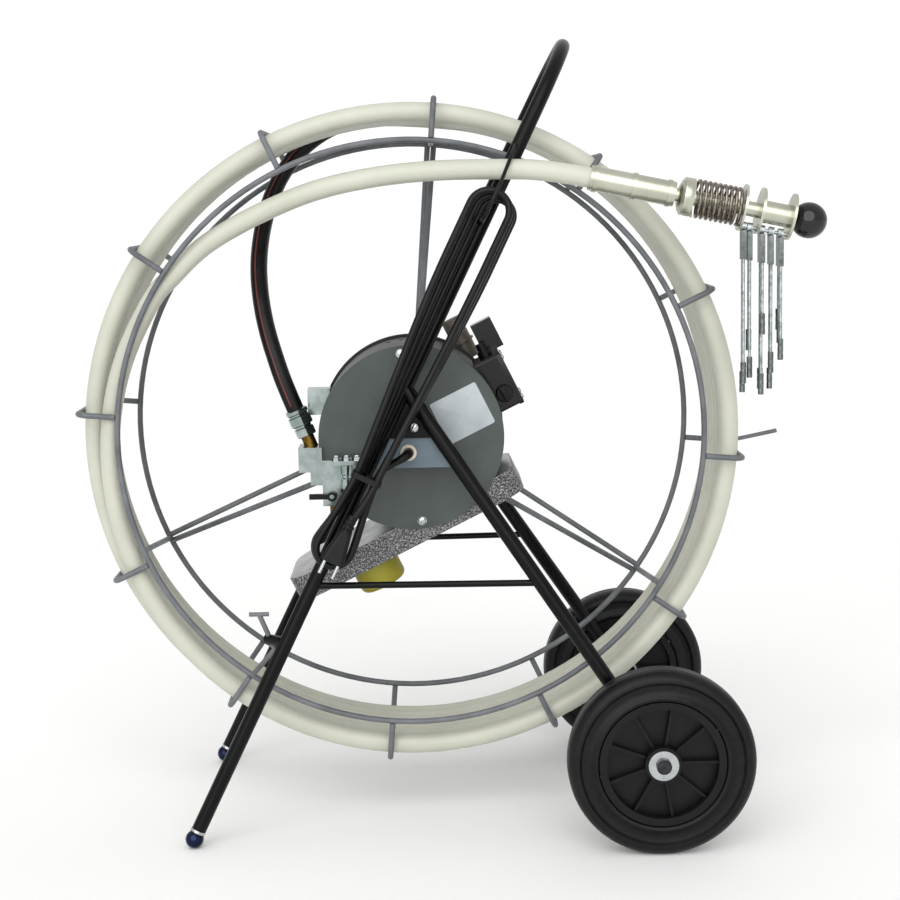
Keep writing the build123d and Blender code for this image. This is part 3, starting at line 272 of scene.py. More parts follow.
def around(radius, angle, y):
    """A point at a radius and an angle in degrees round the reel's axis."""
    return place(radius * cos(radians(angle)), y, radius * sin(radians(angle)))


away = Vector((0, 1, 0))
up = Vector((0, 0, 1))
tilt_right = Vector((cos(radians(HUB_TILT)), 0, sin(radians(HUB_TILT))))
tilt_up = Vector((-sin(radians(HUB_TILT)), 0, cos(radians(HUB_TILT))))
head_forward = Vector((cos(radians(HEAD_TILT)), 0, -sin(radians(HEAD_TILT))))


def tilted(right, rise, y):
    """A point in the tilted axes of the drum and motor."""
    return place(0, y, 0) + (tilt_right * right + tilt_up * rise) * MILLIMETRE


def make_camera():
    """The photograph's viewpoint, with its slight roll."""
    forward = Vector((
        sin(CAMERA_YAW) * cos(CAMERA_PITCH), cos(CAMERA_YAW) * cos(CAMERA_PITCH), -sin(CAMERA_PITCH),
    ))
    level_right = forward.cross(up).normalized()
    level_up = level_right.cross(forward)
    right = level_right * cos(CAMERA_ROLL) + level_up * sin(CAMERA_ROLL)
    upright = level_up * cos(CAMERA_ROLL) - level_right * sin(CAMERA_ROLL)
    bpy.ops.object.camera_add()
    camera = bpy.context.object
    camera.data.lens = CAMERA_LENS
    camera.data.sensor_width = CAMERA_SENSOR
    turn = Matrix((right, upright, -forward)).transposed().to_4x4()
    camera.matrix_world = Matrix.Translation(CAMERA_PLACE) @ turn
    bpy.context.scene.camera = camera


def hex_colour(code):
    """An sRGB hex value as linear red, green, blue and alpha."""
    channels = [int(code[start:start + 2], 16) / 255 for start in (1, 3, 5)]
    linear = [c / 12.92 if c <= 0.04045 else ((c + 0.055) / 1.055) ** 2.4 for c in channels]
    return (*linear, 1.0)


def add_node(tree, kind, inputs=None, stops=None, **settings):
    """Adds one node, with its settings, values and incoming links, and the stops of a colour ramp."""
    made = tree.nodes.new(kind)
    for name, value in settings.items():
        setattr(made, name, value)
    for name, value in (inputs or {}).items():
        if isinstance(value, bpy.types.NodeSocket):
            tree.links.new(value, made.inputs[name])
        else:
            made.inputs[name].default_value = value
    if stops:
        elements = made.color_ramp.elements
        elements[0].position, elements[0].color = stops[0]
        elements[1].position, elements[1].color = stops[-1]
        for position, colour in stops[1:-1]:
            elements.new(position).color = colour
    return made


def new_material(name):
    """An empty material with its shader and the object's own coordinates."""
    material = bpy.data.materials.new(name)
    material.use_nodes = True
    tree = material.node_tree
    tree.nodes.clear()
    shader = add_node(tree, "ShaderNodeBsdfPrincipled")
    add_node(tree, "ShaderNodeOutputMaterial", {"Surface": shader.outputs["BSDF"]})
    spot = add_node(tree, "ShaderNodeTexCoord").outputs["Object"]
    return material, tree, shader, spot


def grey(value):
    """An opaque grey."""
    return (value, value, value, 1)


def per_size(size):
    """The scale of a pattern whose marks are size millimetres across."""
    return 1 / (size * MILLIMETRE)


def worn_finish(name, light, dark, blotch, gloss, grain, metallic=0.0, specular=0.5):
    """A finish with cloudy colour in blotches of a size, uneven gloss and a grain of a size and depth."""
    material, tree, shader, spot = new_material(name)
    cloud = add_node(tree, "ShaderNodeTexNoise", {
        "Vector": spot, "Scale": per_size(blotch), "Detail": 4, "Roughness": 0.6,
    })
    tint = add_node(tree, "ShaderNodeValToRGB", {"Fac": cloud.outputs["Fac"]}, stops=[
        (0.3, hex_colour(dark)), (0.7, hex_colour(light)),
    ])
    tree.links.new(tint.outputs["Color"], shader.inputs["Base Color"])
    patch = add_node(tree, "ShaderNodeTexNoise", {
        "Vector": spot, "Scale": per_size(blotch * 0.45), "Detail": 3, "Roughness": 0.55,
    })
    shine = add_node(tree, "ShaderNodeValToRGB", {"Fac": patch.outputs["Fac"]}, stops=[
        (0.3, grey(gloss[0])), (0.75, grey(gloss[1])),
    ])
    tree.links.new(shine.outputs["Color"], shader.inputs["Roughness"])
    specks = add_node(tree, "ShaderNodeTexNoise", {"Vector": spot, "Scale": per_size(grain[0]), "Detail": 2})
    raised = add_node(tree, "ShaderNodeBump", {
        "Height": specks.outputs["Fac"], "Distance": grain[1] * MILLIMETRE, "Strength": 1.0,
    })
    tree.links.new(raised.outputs["Normal"], shader.inputs["Normal"])
    shader.inputs["Metallic"].default_value = metallic
    shader.inputs["Specular IOR Level"].default_value = specular
    return material


def hammertone_casting():
    """Hammertone paint on a casting: black and pale grey speckle a few millimetres across."""
    material, tree, shader, spot = new_material("hammertone_on_casting")
    specks = add_node(tree, "ShaderNodeTexNoise", {
        "Vector": spot, "Scale": per_size(2.4), "Detail": 3, "Roughness": 0.7,
    })
    tint = add_node(tree, "ShaderNodeValToRGB", {"Fac": specks.outputs["Fac"]}, stops=[
        (0.4, hex_colour("#131415")), (0.5, hex_colour("#4A4B4C")), (0.63, hex_colour("#A9AAA8")),
    ])
    tree.links.new(tint.outputs["Color"], shader.inputs["Base Color"])
    shader.inputs["Roughness"].default_value = 0.42
    cells = add_node(tree, "ShaderNodeTexVoronoi", {"Vector": spot, "Scale": per_size(2.6)})
    raised = add_node(tree, "ShaderNodeBump", {
        "Height": cells.outputs["Distance"], "Distance": 0.5 * MILLIMETRE, "Strength": 0.6,
    })
    tree.links.new(raised.outputs["Normal"], shader.inputs["Normal"])
    return material


def enamel_by_depth(name, front, behind, depth):
    """Satin enamel in two colours, one in front of a depth and one behind it, each lightly clouded."""
    material, tree, shader, spot = new_material(name)
    cloud = add_node(tree, "ShaderNodeTexNoise", {
        "Vector": spot, "Scale": per_size(60), "Detail": 3, "Roughness": 0.6,
    })
    tints = []
    for dark, light in (front, behind):
        tints.append(add_node(tree, "ShaderNodeValToRGB", {"Fac": cloud.outputs["Fac"]}, stops=[
            (0.3, hex_colour(dark)), (0.7, hex_colour(light)),
        ]).outputs["Color"])
    y = add_node(tree, "ShaderNodeSeparateXYZ", {"Vector": spot}).outputs["Y"]
    further = add_node(tree, "ShaderNodeMath", {0: y, 1: depth * MILLIMETRE}, operation="GREATER_THAN")
    tint = add_node(tree, "ShaderNodeMix", {
        0: further.outputs["Value"], 6: tints[0], 7: tints[1],
    }, data_type="RGBA")
    tree.links.new(tint.outputs[2], shader.inputs["Base Color"])
    shine = add_node(tree, "ShaderNodeValToRGB", {"Fac": cloud.outputs["Fac"]}, stops=[
        (0.3, grey(0.36)), (0.75, grey(0.5)),
    ])
    tree.links.new(shine.outputs["Color"], shader.inputs["Roughness"])
    shader.inputs["Specular IOR Level"].default_value = 0.3
    return material


def cream_hose_plastic():
    """Extruded cream thermoplastic hose: satin, scuffed, and a little soft where light enters its skin."""
    material, tree, shader, spot = new_material("cream_thermoplastic_hose")
    cloud = add_node(tree, "ShaderNodeTexNoise", {
        "Vector": spot, "Scale": per_size(160), "Detail": 4, "Roughness": 0.6,
    })
    tint = add_node(tree, "ShaderNodeValToRGB", {"Fac": cloud.outputs["Fac"]}, stops=[
        (0.3, hex_colour("#B3B4A6")), (0.55, hex_colour("#BFC0B2")), (0.75, hex_colour("#C8C8BC")),
    ])
    tree.links.new(tint.outputs["Color"], shader.inputs["Base Color"])
    scuffs = add_node(tree, "ShaderNodeTexNoise", {
        "Vector": spot, "Scale": per_size(35), "Detail": 4, "Roughness": 0.6,
    })
    shine = add_node(tree, "ShaderNodeValToRGB", {"Fac": scuffs.outputs["Fac"]}, stops=[
        (0.3, grey(0.34)), (0.75, grey(0.5)),
    ])
    tree.links.new(shine.outputs["Color"], shader.inputs["Roughness"])
    shader.inputs["Subsurface Weight"].default_value = 0.05
    shader.inputs["Subsurface Radius"].default_value = (0.004, 0.003, 0.002)
    return material


def wire_rope():
    """Galvanised wire rope: dull silver, with strands that wind round it at a slant, drawn coarse to show."""
    material, tree, shader, spot = new_material("galvanised_wire_rope")
    streaks = add_node(tree, "ShaderNodeTexNoise", {"Vector": spot, "Scale": per_size(6), "Detail": 3})
    tint = add_node(tree, "ShaderNodeValToRGB", {"Fac": streaks.outputs["Fac"]}, stops=[
        (0.3, hex_colour("#848D8F")), (0.7, hex_colour("#CBD1D2")),
    ])
    tree.links.new(tint.outputs["Color"], shader.inputs["Base Color"])
    shader.inputs["Metallic"].default_value = 1.0
    shader.inputs["Roughness"].default_value = 0.36
    slanted = add_node(tree, "ShaderNodeMapping", {"Vector": spot, "Rotation": (0, radians(28), 0)})
    strands = add_node(tree, "ShaderNodeTexWave", {
        "Vector": slanted.outputs["Vector"], "Scale": per_size(3) / 10, "Distortion": 0.6,
    }, bands_direction="Z")
    raised = add_node(tree, "ShaderNodeBump", {
        "Height": strands.outputs["Fac"], "Distance": 0.12 * MILLIMETRE, "Strength": 1.0,
    })
    tree.links.new(raised.outputs["Normal"], shader.inputs["Normal"])
    return material


def dusty_rubber():
    """Moulded solid rubber tyre: dull black, with pale dust in patches."""
    material, tree, shader, spot = new_material("moulded_rubber_tyre")
    cloud = add_node(tree, "ShaderNodeTexNoise", {
        "Vector": spot, "Scale": per_size(30), "Detail": 4, "Roughness": 0.6,
    })
    black = add_node(tree, "ShaderNodeValToRGB", {"Fac": cloud.outputs["Fac"]}, stops=[
        (0.3, hex_colour("#070808")), (0.7, hex_colour("#0D0E0E")),
    ])
    grit = add_node(tree, "ShaderNodeTexNoise", {
        "Vector": spot, "Scale": per_size(9), "Detail": 4, "Roughness": 0.7,
    })
    dust = add_node(tree, "ShaderNodeValToRGB", {"Fac": grit.outputs["Fac"]}, stops=[
        (0.45, grey(0)), (0.75, grey(0.35)),
    ])
    tint = add_node(tree, "ShaderNodeMix", {
        0: dust.outputs["Color"], 6: black.outputs["Color"], 7: hex_colour("#202120"),
    }, data_type="RGBA")
    tree.links.new(tint.outputs[2], shader.inputs["Base Color"])
    shader.inputs["Roughness"].default_value = 0.4
    shader.inputs["Specular IOR Level"].default_value = 0.22
    raised = add_node(tree, "ShaderNodeBump", {
        "Height": grit.outputs["Fac"], "Distance": 0.08 * MILLIMETRE, "Strength": 1.0,
    })
    tree.links.new(raised.outputs["Normal"], shader.inputs["Normal"])
    return material


# Baked gloss enamel on tube: near black with sharp highlights, dulled in patches by dust
enamel = worn_finish(
    "gloss_enamel_on_tube", "#0A0B0B", "#050506", 90, (0.2, 0.34), (2.5, 0.02), specular=0.16,
)
# Satin paint on bent rod: an even mid grey with duller spots
cage_paint = worn_finish("satin_paint_on_rod", "#6E7175", "#525559", 40, (0.36, 0.55), (1.5, 0.04))
# Primer on flat plate: blue-grey and dull
plate_paint = worn_finish("primer_on_plate", "#687781", "#55636C", 50, (0.4, 0.55), (1.2, 0.03))
# Zinc plating on pressed steel: silver with a green and blue cast in patches
zinc = worn_finish("zinc_plated_steel", "#AEB8B8", "#828F8B", 20, (0.14, 0.26), (0.8, 0.01), metallic=1.0)
# Passivated steel off the lathe: bright, with a straw cast
steel = worn_finish(
    "turned_passivated_steel", "#D0D0C2", "#B9B9A9", 60, (0.26, 0.34), (0.6, 0.005), metallic=1.0,
)
# Chrome plating: clear, bright reflections
chrome = worn_finish("chromed_steel", "#C4C7C9", "#A5A9AC", 20, (0.1, 0.2), (1.0, 0.01), metallic=1.0)
# Crimped ferrules: zinc gone dark and dull
ferrule_zinc = worn_finish(
    "dulled_zinc_ferrule", "#7E8583", "#565C5B", 6, (0.3, 0.42), (0.8, 0.03), metallic=1.0,
)
# Axle steel, coloured dark all over so that its end shows the shade in the hole there: painted shade
axle_painted_shade_steel = worn_finish("axle_metal_with_painted_end_shade", "#4A4D50", "#25272A", 12, (0.2, 0.34), (0.8, 0.02), metallic=1.0)
# Oiled spring wire: dark straw brown
spring_wire = worn_finish(
    "oiled_spring_wire", "#A89E90", "#4A433B", 8, (0.18, 0.34), (0.8, 0.02), metallic=1.0,
)
# Brass left dull
brass = worn_finish("dull_brass", "#8A6A2E", "#5A4419", 8, (0.28, 0.45), (0.8, 0.02), metallic=1.0)
# Milled face of the casting: pale bare metal
milled = worn_finish("milled_cast_iron", "#C9CBCA", "#A5A8A7", 30, (0.3, 0.45), (0.8, 0.02), metallic=1.0)
# Moulded polyethylene: flat yellow
yellow = worn_finish("moulded_yellow_polyethylene", "#97901A", "#837C10", 30, (0.38, 0.5), (1.0, 0.03))
# Moulded polypropylene: black with a fine mould grain
moulding = worn_finish(
    "black_polypropylene", "#0E0F0F", "#080809", 40, (0.3, 0.44), (0.9, 0.05), specular=0.22,
)
# Moulded box plastic: a glossier black
box_plastic = worn_finish(
    "glossy_box_moulding", "#0B0C0D", "#060607", 50, (0.1, 0.2), (3.0, 0.03), specular=0.35,
)
# Capacitor can: brown-grey plastic
can_plastic = worn_finish("brown_grey_can", "#655D52", "#4D473F", 20, (0.35, 0.5), (0.8, 0.02))
# Polished steel, coloured dark blue as a painted reflection of a dark ground and blue sky, with mirror
# highlights
steel_painted_sky_reflection = worn_finish(
    "polished_steel_painted_blue_reflection", "#2A3350", "#141A2B", 30, (0.06, 0.14), (2.0, 0.005), metallic=1.0,
)
# Polished phenolic ball: deep black with mirror highlights
ball_gloss = worn_finish("polished_phenolic_ball", "#0C0C0E", "#050506", 30, (0.05, 0.12), (2.0, 0.005))
# Rubber sheath of the cable and the hoses: black with a soft shine
sheath = worn_finish(
    "black_rubber_sheath", "#0C0D0D", "#060607", 45, (0.26, 0.42), (1.0, 0.03), specular=0.24,
)
# Stripe moulded along the feed hose: dark red
red_stripe = worn_finish("dark_red_rubber_stripe", "#6A2A26", "#51201D", 20, (0.4, 0.55), (1.0, 0.02))
# Moulded nylon grommet: cream
cream_nylon = worn_finish("cream_nylon", "#DAD4C2", "#C2BBA8", 15, (0.35, 0.5), (0.8, 0.02))
# Bare polyester label: pale silver film
label_film = worn_finish("silver_polyester_film", "#B9C0C3", "#A3ABAF", 40, (0.25, 0.4), (1.0, 0.01))
# Studio paper: almost white and matt
paper = worn_finish("matt_studio_paper", "#FBFBFA", "#F8F8F7", 900, (0.85, 0.95), (6, 0.02))
hammertone = hammertone_casting()
# Machine enamel on the motor: green, with its flange in black
motor_green = enamel_by_depth(
    "green_enamel_on_motor", ("#141516", "#1E1F20"), ("#2F6242", "#437E54"), FLANGE_BACK,
)
# Satin enamel on the drum's sheet steel: mid grey on its face and darker round its wall
drum_paint = enamel_by_depth(
    "satin_enamel_on_drum", ("#404644", "#4D5451"), ("#191C1B", "#232625"), DRUM_FACE,
)
cream = cream_hose_plastic()
rope = wire_rope()
tyre_rubber = dusty_rubber()


def make_stage():
    """A wide pale floor, white surroundings and one wide soft light from above, the front and the left."""
    bpy.ops.object.select_all(action="DESELECT")
    bpy.ops.mesh.primitive_plane_add(size=FLOOR_SIZE)
    floor = bpy.context.object
    floor.name = "floor"
    floor.data.materials.append(paper)
    world = bpy.data.worlds.new("white_surround")
    world.use_nodes = True
    background = world.node_tree.nodes["Background"]
    background.inputs["Color"].default_value = (1, 1, 1, 1)
    seen = add_node(world.node_tree, "ShaderNodeLightPath").outputs["Is Camera Ray"]
    strength = add_node(world.node_tree, "ShaderNodeMath", {
        0: seen, 1: BACKDROP_STRENGTH - SURROUND_STRENGTH, 2: SURROUND_STRENGTH,
    }, operation="MULTIPLY_ADD")
    world.node_tree.links.new(strength.outputs["Value"], background.inputs["Strength"])
    bpy.context.scene.world = world
    bpy.ops.object.light_add(type="SUN")
    sun = bpy.context.object
    sun.name = "wide_soft_light"
    sun.data.energy = SUN_STRENGTH
    sun.data.angle = radians(SUN_ANGLE)
    sun.rotation_euler = SUN_WAY.to_track_quat("-Z", "Y").to_euler()
    bpy.context.scene.view_settings.view_transform = "Standard"


def coat(piece, material):
    """Makes one material a piece's only one."""
    piece.data.materials.clear()
    piece.data.materials.append(material)


def finished(piece, material, body, slot, *stands_for):
    """Gives a made piece its finish and the body it moves with, and hides the nodes that it stands for. Its
    slot is not used.
    """
    coat(piece, material)
    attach(piece, body)
    if stands_for:
        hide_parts(*stands_for)
    return piece


def smooth_curve(name, points, diameter, rings=8, steps=6, thickness=None):
    """A round cord along one smooth open line, with its thickness along the way where it tapers."""
    data = bpy.data.curves.new(name, "CURVE")
    data.dimensions = "3D"
    line = data.splines.new("NURBS")
    line.points.add(len(points) - 1)
    for number, (spot, point) in enumerate(zip(line.points, points)):
        spot.co = (*point, 1)
        spot.radius = thickness[number] if thickness else 1
    line.order_u = 3
    line.use_endpoint_u = True
    data.resolution_u = steps
    data.bevel_depth = diameter * MILLIMETRE / 2
    data.bevel_resolution = rings
    data.use_fill_caps = True
    cord = bpy.data.objects.new(name, data)
    bpy.context.scene.collection.objects.link(cord)
    return cord


def line_of(cord):
    """The points that a cord's smooth line runs through."""
    bare = bpy.data.objects.new("bare_line", cord.data.copy())
    bare.data.bevel_depth = 0
    mesh = bpy.data.meshes.new_from_object(bare)
    points = [vertex.co.copy() for vertex in mesh.vertices]
    bpy.data.meshes.remove(mesh)
    bpy.data.curves.remove(bare.data)
    return points


def length_of(points):
    """The length of a line of points, in metres."""
    return sum((after - before).length for before, after in zip(points, points[1:]))


def only(piece):
    """Makes one piece the only selected and the active one."""
    bpy.ops.object.select_all(action="DESELECT")
    piece.select_set(True)
    bpy.context.view_layer.objects.active = piece


def as_mesh(cord):
    """Makes a curve a mesh, smooth along its length and sharp at its ends."""
    only(cord)
    bpy.ops.object.convert(target="MESH")
    bpy.ops.object.shade_smooth_by_angle(angle=radians(CORD_SMOOTH_ANGLE))
    return cord


def coil_point(turned, radius):
    """A point of the wound hose, by the angle turned back from where it leaves the coil."""
    share = max(0, STUB_LEAD - turned) / (STUB_LEAD + STUB_ANGLE)
    drop = STUB_DROP * share ** STUB_POWER + STUB_LATE_DROP * share ** STUB_LATE_POWER
    lane = COIL_NEAR_LANE + COIL_PITCH * max(0, turned) / 360
    return around(radius - drop, COIL_LEAVE_ANGLE + turned, lane)


def coil_way(turned):
    """The direction in which the wound hose runs out at an angle."""
    step = 0.01
    return (coil_point(turned - step, COIL_RADIUS) - coil_point(turned + step, COIL_RADIUS)).normalized()


coil_entry_way = coil_way(COIL_TURNED_ANGLE)
coil_entry = coil_point(COIL_TURNED_ANGLE, COIL_RADIUS) - coil_entry_way * HOSE_DIAMETER * MILLIMETRE
stub_way = coil_way(-STUB_ANGLE)
stub_end = coil_point(-STUB_ANGLE, COIL_RADIUS) + stub_way * HOSE_DIAMETER * MILLIMETRE
sleeve_start = outside(*SLEEVE_PLACE)
fitting_up = Vector((-sin(radians(FITTING_LEAN)), 0, cos(radians(FITTING_LEAN))))
nut_top = place(*FITTING_PLACE) + fitting_up * FITTING_HEIGHT * MILLIMETRE


def make_drain_hose():
    """The hose on the reel, and its free end."""
    control_radius = COIL_RADIUS / cos(radians(COIL_STEP / 2))
    turned = COIL_TURNED_ANGLE
    points = [coil_entry, coil_point(COIL_TURNED_ANGLE, COIL_RADIUS)]
    while turned > -STUB_ANGLE + COIL_STEP:
        turned -= COIL_STEP
        points.append(coil_point(turned, control_radius))
    points += [coil_point(-STUB_ANGLE, COIL_RADIUS), stub_end]
    coil = smooth_curve("drain_hose_coil", points, HOSE_DIAMETER)
    finished(coil, cream, "reel", "cream", "hose_coil")
    length_of(line_of(coil))

    last_run = head_forward * HOSE_LAST_RUN * MILLIMETRE
    free_points = [stub_end, stub_end + stub_way * HOSE_FIRST_RUN * MILLIMETRE]
    free_points += across(HOSE_ROUTE, stub_end, sleeve_start)
    free_points += [sleeve_start - last_run, sleeve_start]
    free_end = smooth_curve("drain_hose_end", free_points, HOSE_DIAMETER, steps=12)
    path = line_of(free_end)
    as_mesh(free_end)
    coat(free_end, cream)
    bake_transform(free_end)
    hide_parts("hose_end")


def make_feed_hose():
    """The short hose from the valve to the start of the coil, with the stripe along its front."""
    points = [nut_top, nut_top + fitting_up * FEED_FIRST_RUN * MILLIMETRE]
    points += across(FEED_ROUTE, nut_top, coil_entry)
    points += [coil_entry - coil_entry_way * FEED_LAST_RUN * MILLIMETRE, coil_entry]
    hose = smooth_curve("feed_hose_tube", points, FEED_DIAMETER, steps=12)
    finished(hose, sheath, "reel", "black_rubber", "feed_hose")
    path = line_of(hose)
    stripe_points = []
    for before, spot, after in zip(path, path[1:], path[2:]):
        way = (after - before).normalized()
        front = STRIPE_WAY - way * STRIPE_WAY.dot(way)
        stripe_points.append(spot + front.normalized() * STRIPE_REACH * MILLIMETRE)
    stripe = as_mesh(smooth_curve("feed_hose_stripe", stripe_points, STRIPE_WIDTH, rings=2, steps=2))
    finished(stripe, red_stripe, "reel", "black_rubber")


hank_bottom = outside(*HANK_BOTTOM)
hank_run = outside(*HANK_TOP) - hank_bottom
hank_length = hank_run.length / MILLIMETRE
hank_up = hank_run.normalized()
hank_right = hank_up.cross(-away).normalized()
hank_out = hank_right.cross(hank_up)
hank_shoulder = hank_length - HANK_TOP_DROP
grommet_low, grommet_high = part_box("cable_grommet")
grommet_front = (grommet_low + grommet_high) / 2
grommet_front.y = grommet_low.y


def hank_point(rise, right, level):
    """A point in the hank's own axes."""
    return hank_bottom + (hank_up * rise + hank_right * right + hank_out * level) * MILLIMETRE


def hank_fold(middle, start, end, level):
    """Control points of one end of a loop of the hank, from its one side round to the other."""
    centre = (start + end) / 2
    swing = (start - end) / 2
    lead_in = swing * tan(radians(FOLD_STEP / 2))
    reach = swing / cos(radians(FOLD_STEP / 2))
    points = [hank_point(middle + lead_in, start, level)]
    for number in range(180 // FOLD_STEP):
        angle = radians(FOLD_STEP * (number + 0.5))
        points.append(hank_point(middle - reach * sin(angle), centre + reach * cos(angle), level))
    points.append(hank_point(middle + lead_in, end, level))
    return points


def make_mains_cable():
    """The lead from the grommet and the hank that it is folded into, on one line, with its two boots."""
    lead_end = hank_point(HANK_START, HANK_HALF_WIDTH, 0)
    points = [grommet_front, grommet_front - away * LEAD_FIRST_RUN * MILLIMETRE]
    points += [outside(*point) for point in LEAD_ROUTE]
    points += [lead_end + hank_up * LEAD_LAST_RUN * MILLIMETRE, lead_end]
    boot_points = [points[0], points[1], (points[1] + points[2]) / 2]
    loops = len(HANK_TOP_SIDES)
    last_level = loops * HANK_STEP + PLUG_LIFT
    for loop in range(loops):
        level = loop * HANK_STEP
        next_level = level + HANK_STEP if loop < loops - 1 else last_level
        foot_left, foot_right = HANK_FOOT_SIDES[loop]
        waist_left, waist_right = HANK_WAIST_SIDES[loop]
        top_left, top_right = HANK_TOP_SIDES[loop]
        points += hank_fold(0, foot_right, foot_left, level)
        points.append(hank_point(HANK_START, waist_left, level))
        points.append(hank_point(HANK_WAIST_RISE, waist_left, level))
        points.append(hank_point(HANK_FLARE_RISE, top_left, level))
        points += hank_fold(hank_shoulder, top_left, top_right, level)
        points.append(hank_point(HANK_FLARE_RISE, top_right, level))
        points.append(hank_point(HANK_WAIST_RISE, waist_right, next_level))
        points.append(hank_point(HANK_START, waist_right, next_level))
    plug_top = hank_point(HANK_END, PLUG_SIDE, last_level)
    points.append(plug_top + hank_up * CABLE_DIAMETER * MILLIMETRE)
    points.append(plug_top)
    cable = smooth_curve("mains_cable", points, CABLE_DIAMETER, rings=5)
    finished(cable, sheath, "frame", "black_rubber", "power_lead", "cable_hank")
    boot = smooth_curve("lead_boot", boot_points, CABLE_DIAMETER, rings=6, steps=12, thickness=BOOT_THICKNESS)
    finished(as_mesh(boot), moulding, "frame", "black_plastic")
    neck = turned_piece("plug_neck", NECK_SHAPE, plug_top, hank_up)
    finished(neck, moulding, "frame", "black_plastic")
    length_of(line_of(cable))


def make_strap():
    """The strap that holds the hose and the hank to the tube."""
    points = [outside(*point) for point in STRAP_ROUTE]
    strap = smooth_curve("holding_strap", points, STRAP_DIAMETER, rings=4, steps=8)
    finished(strap, sheath, "frame", "black_rubber", "hank_strap")
    length_of(line_of(strap))


def turned_piece(name, shape, origin, axis, steps=ROUND_STEPS):
    """A piece turned on a lathe: stations along the axis and radii, drawn as a line and spun round."""
    across_axis = axis.orthogonal().normalized()
    points = [origin + (axis * station + across_axis * radius) * MILLIMETRE for station, radius in shape]
    bpy.ops.object.select_all(action="DESELECT")
    bpy.ops.mesh.primitive_plane_add(size=MILLIMETRE, location=points[0])
    piece = bpy.context.object
    piece.name = name
    bpy.ops.object.transform_apply(location=True, rotation=True, scale=True)
    bpy.ops.object.mode_set(mode="EDIT")
    bpy.ops.mesh.select_all(action="SELECT")
    bpy.ops.mesh.merge(type="CENTER")
    for before, after in zip(points, points[1:]):
        bpy.ops.mesh.extrude_region_move(TRANSFORM_OT_translate={"value": after - before})
    bpy.ops.mesh.select_all(action="SELECT")
    bpy.ops.mesh.spin(steps=steps, angle=2 * pi, center=origin, axis=axis)
    bpy.ops.mesh.select_all(action="SELECT")
    bpy.ops.mesh.remove_doubles(threshold=MERGE_DISTANCE * MILLIMETRE)
    bpy.ops.mesh.normals_make_consistent(inside=False)
    bpy.ops.object.mode_set(mode="OBJECT")
    bpy.ops.object.shade_smooth_by_angle(angle=radians(PIECE_SMOOTH_ANGLE))
    return piece


def rounded_plate(name, middle, right, rise, size, corner, rounding):
    """A plate with rounded corners and edges, from its middle, two of its ways and its three sizes."""
    bpy.ops.object.select_all(action="DESELECT")
    bpy.ops.mesh.primitive_plane_add(size=1)
    piece = bpy.context.object
    piece.name = name
    front = right.cross(rise)
    turn = Matrix((right, rise, front)).transposed().to_4x4()
    spread = Matrix.Diagonal((size[0] * MILLIMETRE, size[1] * MILLIMETRE, 1, 1))
    piece.matrix_world = Matrix.Translation(middle - front * size[2] / 2 * MILLIMETRE) @ turn @ spread
    bpy.ops.object.transform_apply(location=True, rotation=True, scale=True)
    bpy.ops.object.mode_set(mode="EDIT")
    bpy.ops.mesh.select_all(action="SELECT")
    bpy.ops.mesh.bevel(offset=corner * MILLIMETRE, segments=CORNER_SEGMENTS, affect="VERTICES")
    bpy.ops.mesh.select_all(action="SELECT")
    bpy.ops.mesh.extrude_region_move(TRANSFORM_OT_translate={"value": front * size[2] * MILLIMETRE})
    bpy.ops.mesh.inset(thickness=rounding * MILLIMETRE, depth=0)
    bpy.ops.transform.translate(value=front * rounding / 2 * MILLIMETRE)
    bpy.ops.mesh.select_all(action="SELECT")
    bpy.ops.mesh.normals_make_consistent(inside=False)
    bpy.ops.object.mode_set(mode="OBJECT")
    bpy.ops.object.shade_smooth_by_angle(angle=radians(PIECE_SMOOTH_ANGLE))
    return piece


def make_tyres():
    """Moulded tyres: a tread with two grooves, round shoulders, a sunk side wall and a lip at the rim."""
    shape = [(-station, radius) for station, radius in reversed(TYRE_HALF)] + TYRE_HALF[1:]
    shape.append(shape[0])
    for side, y in (("near", -WHEEL_SIDE), ("far", WHEEL_SIDE)):
        middle = joint_places[f"wheel_{side}_spin"].copy()
        middle.y = y * MILLIMETRE
        tyre = turned_piece(f"moulded_tyre_{side}", shape, middle, away, TYRE_STEPS)
        finished(tyre, tyre_rubber, f"wheel_{side}", "tyre", f"tyre_{side}")


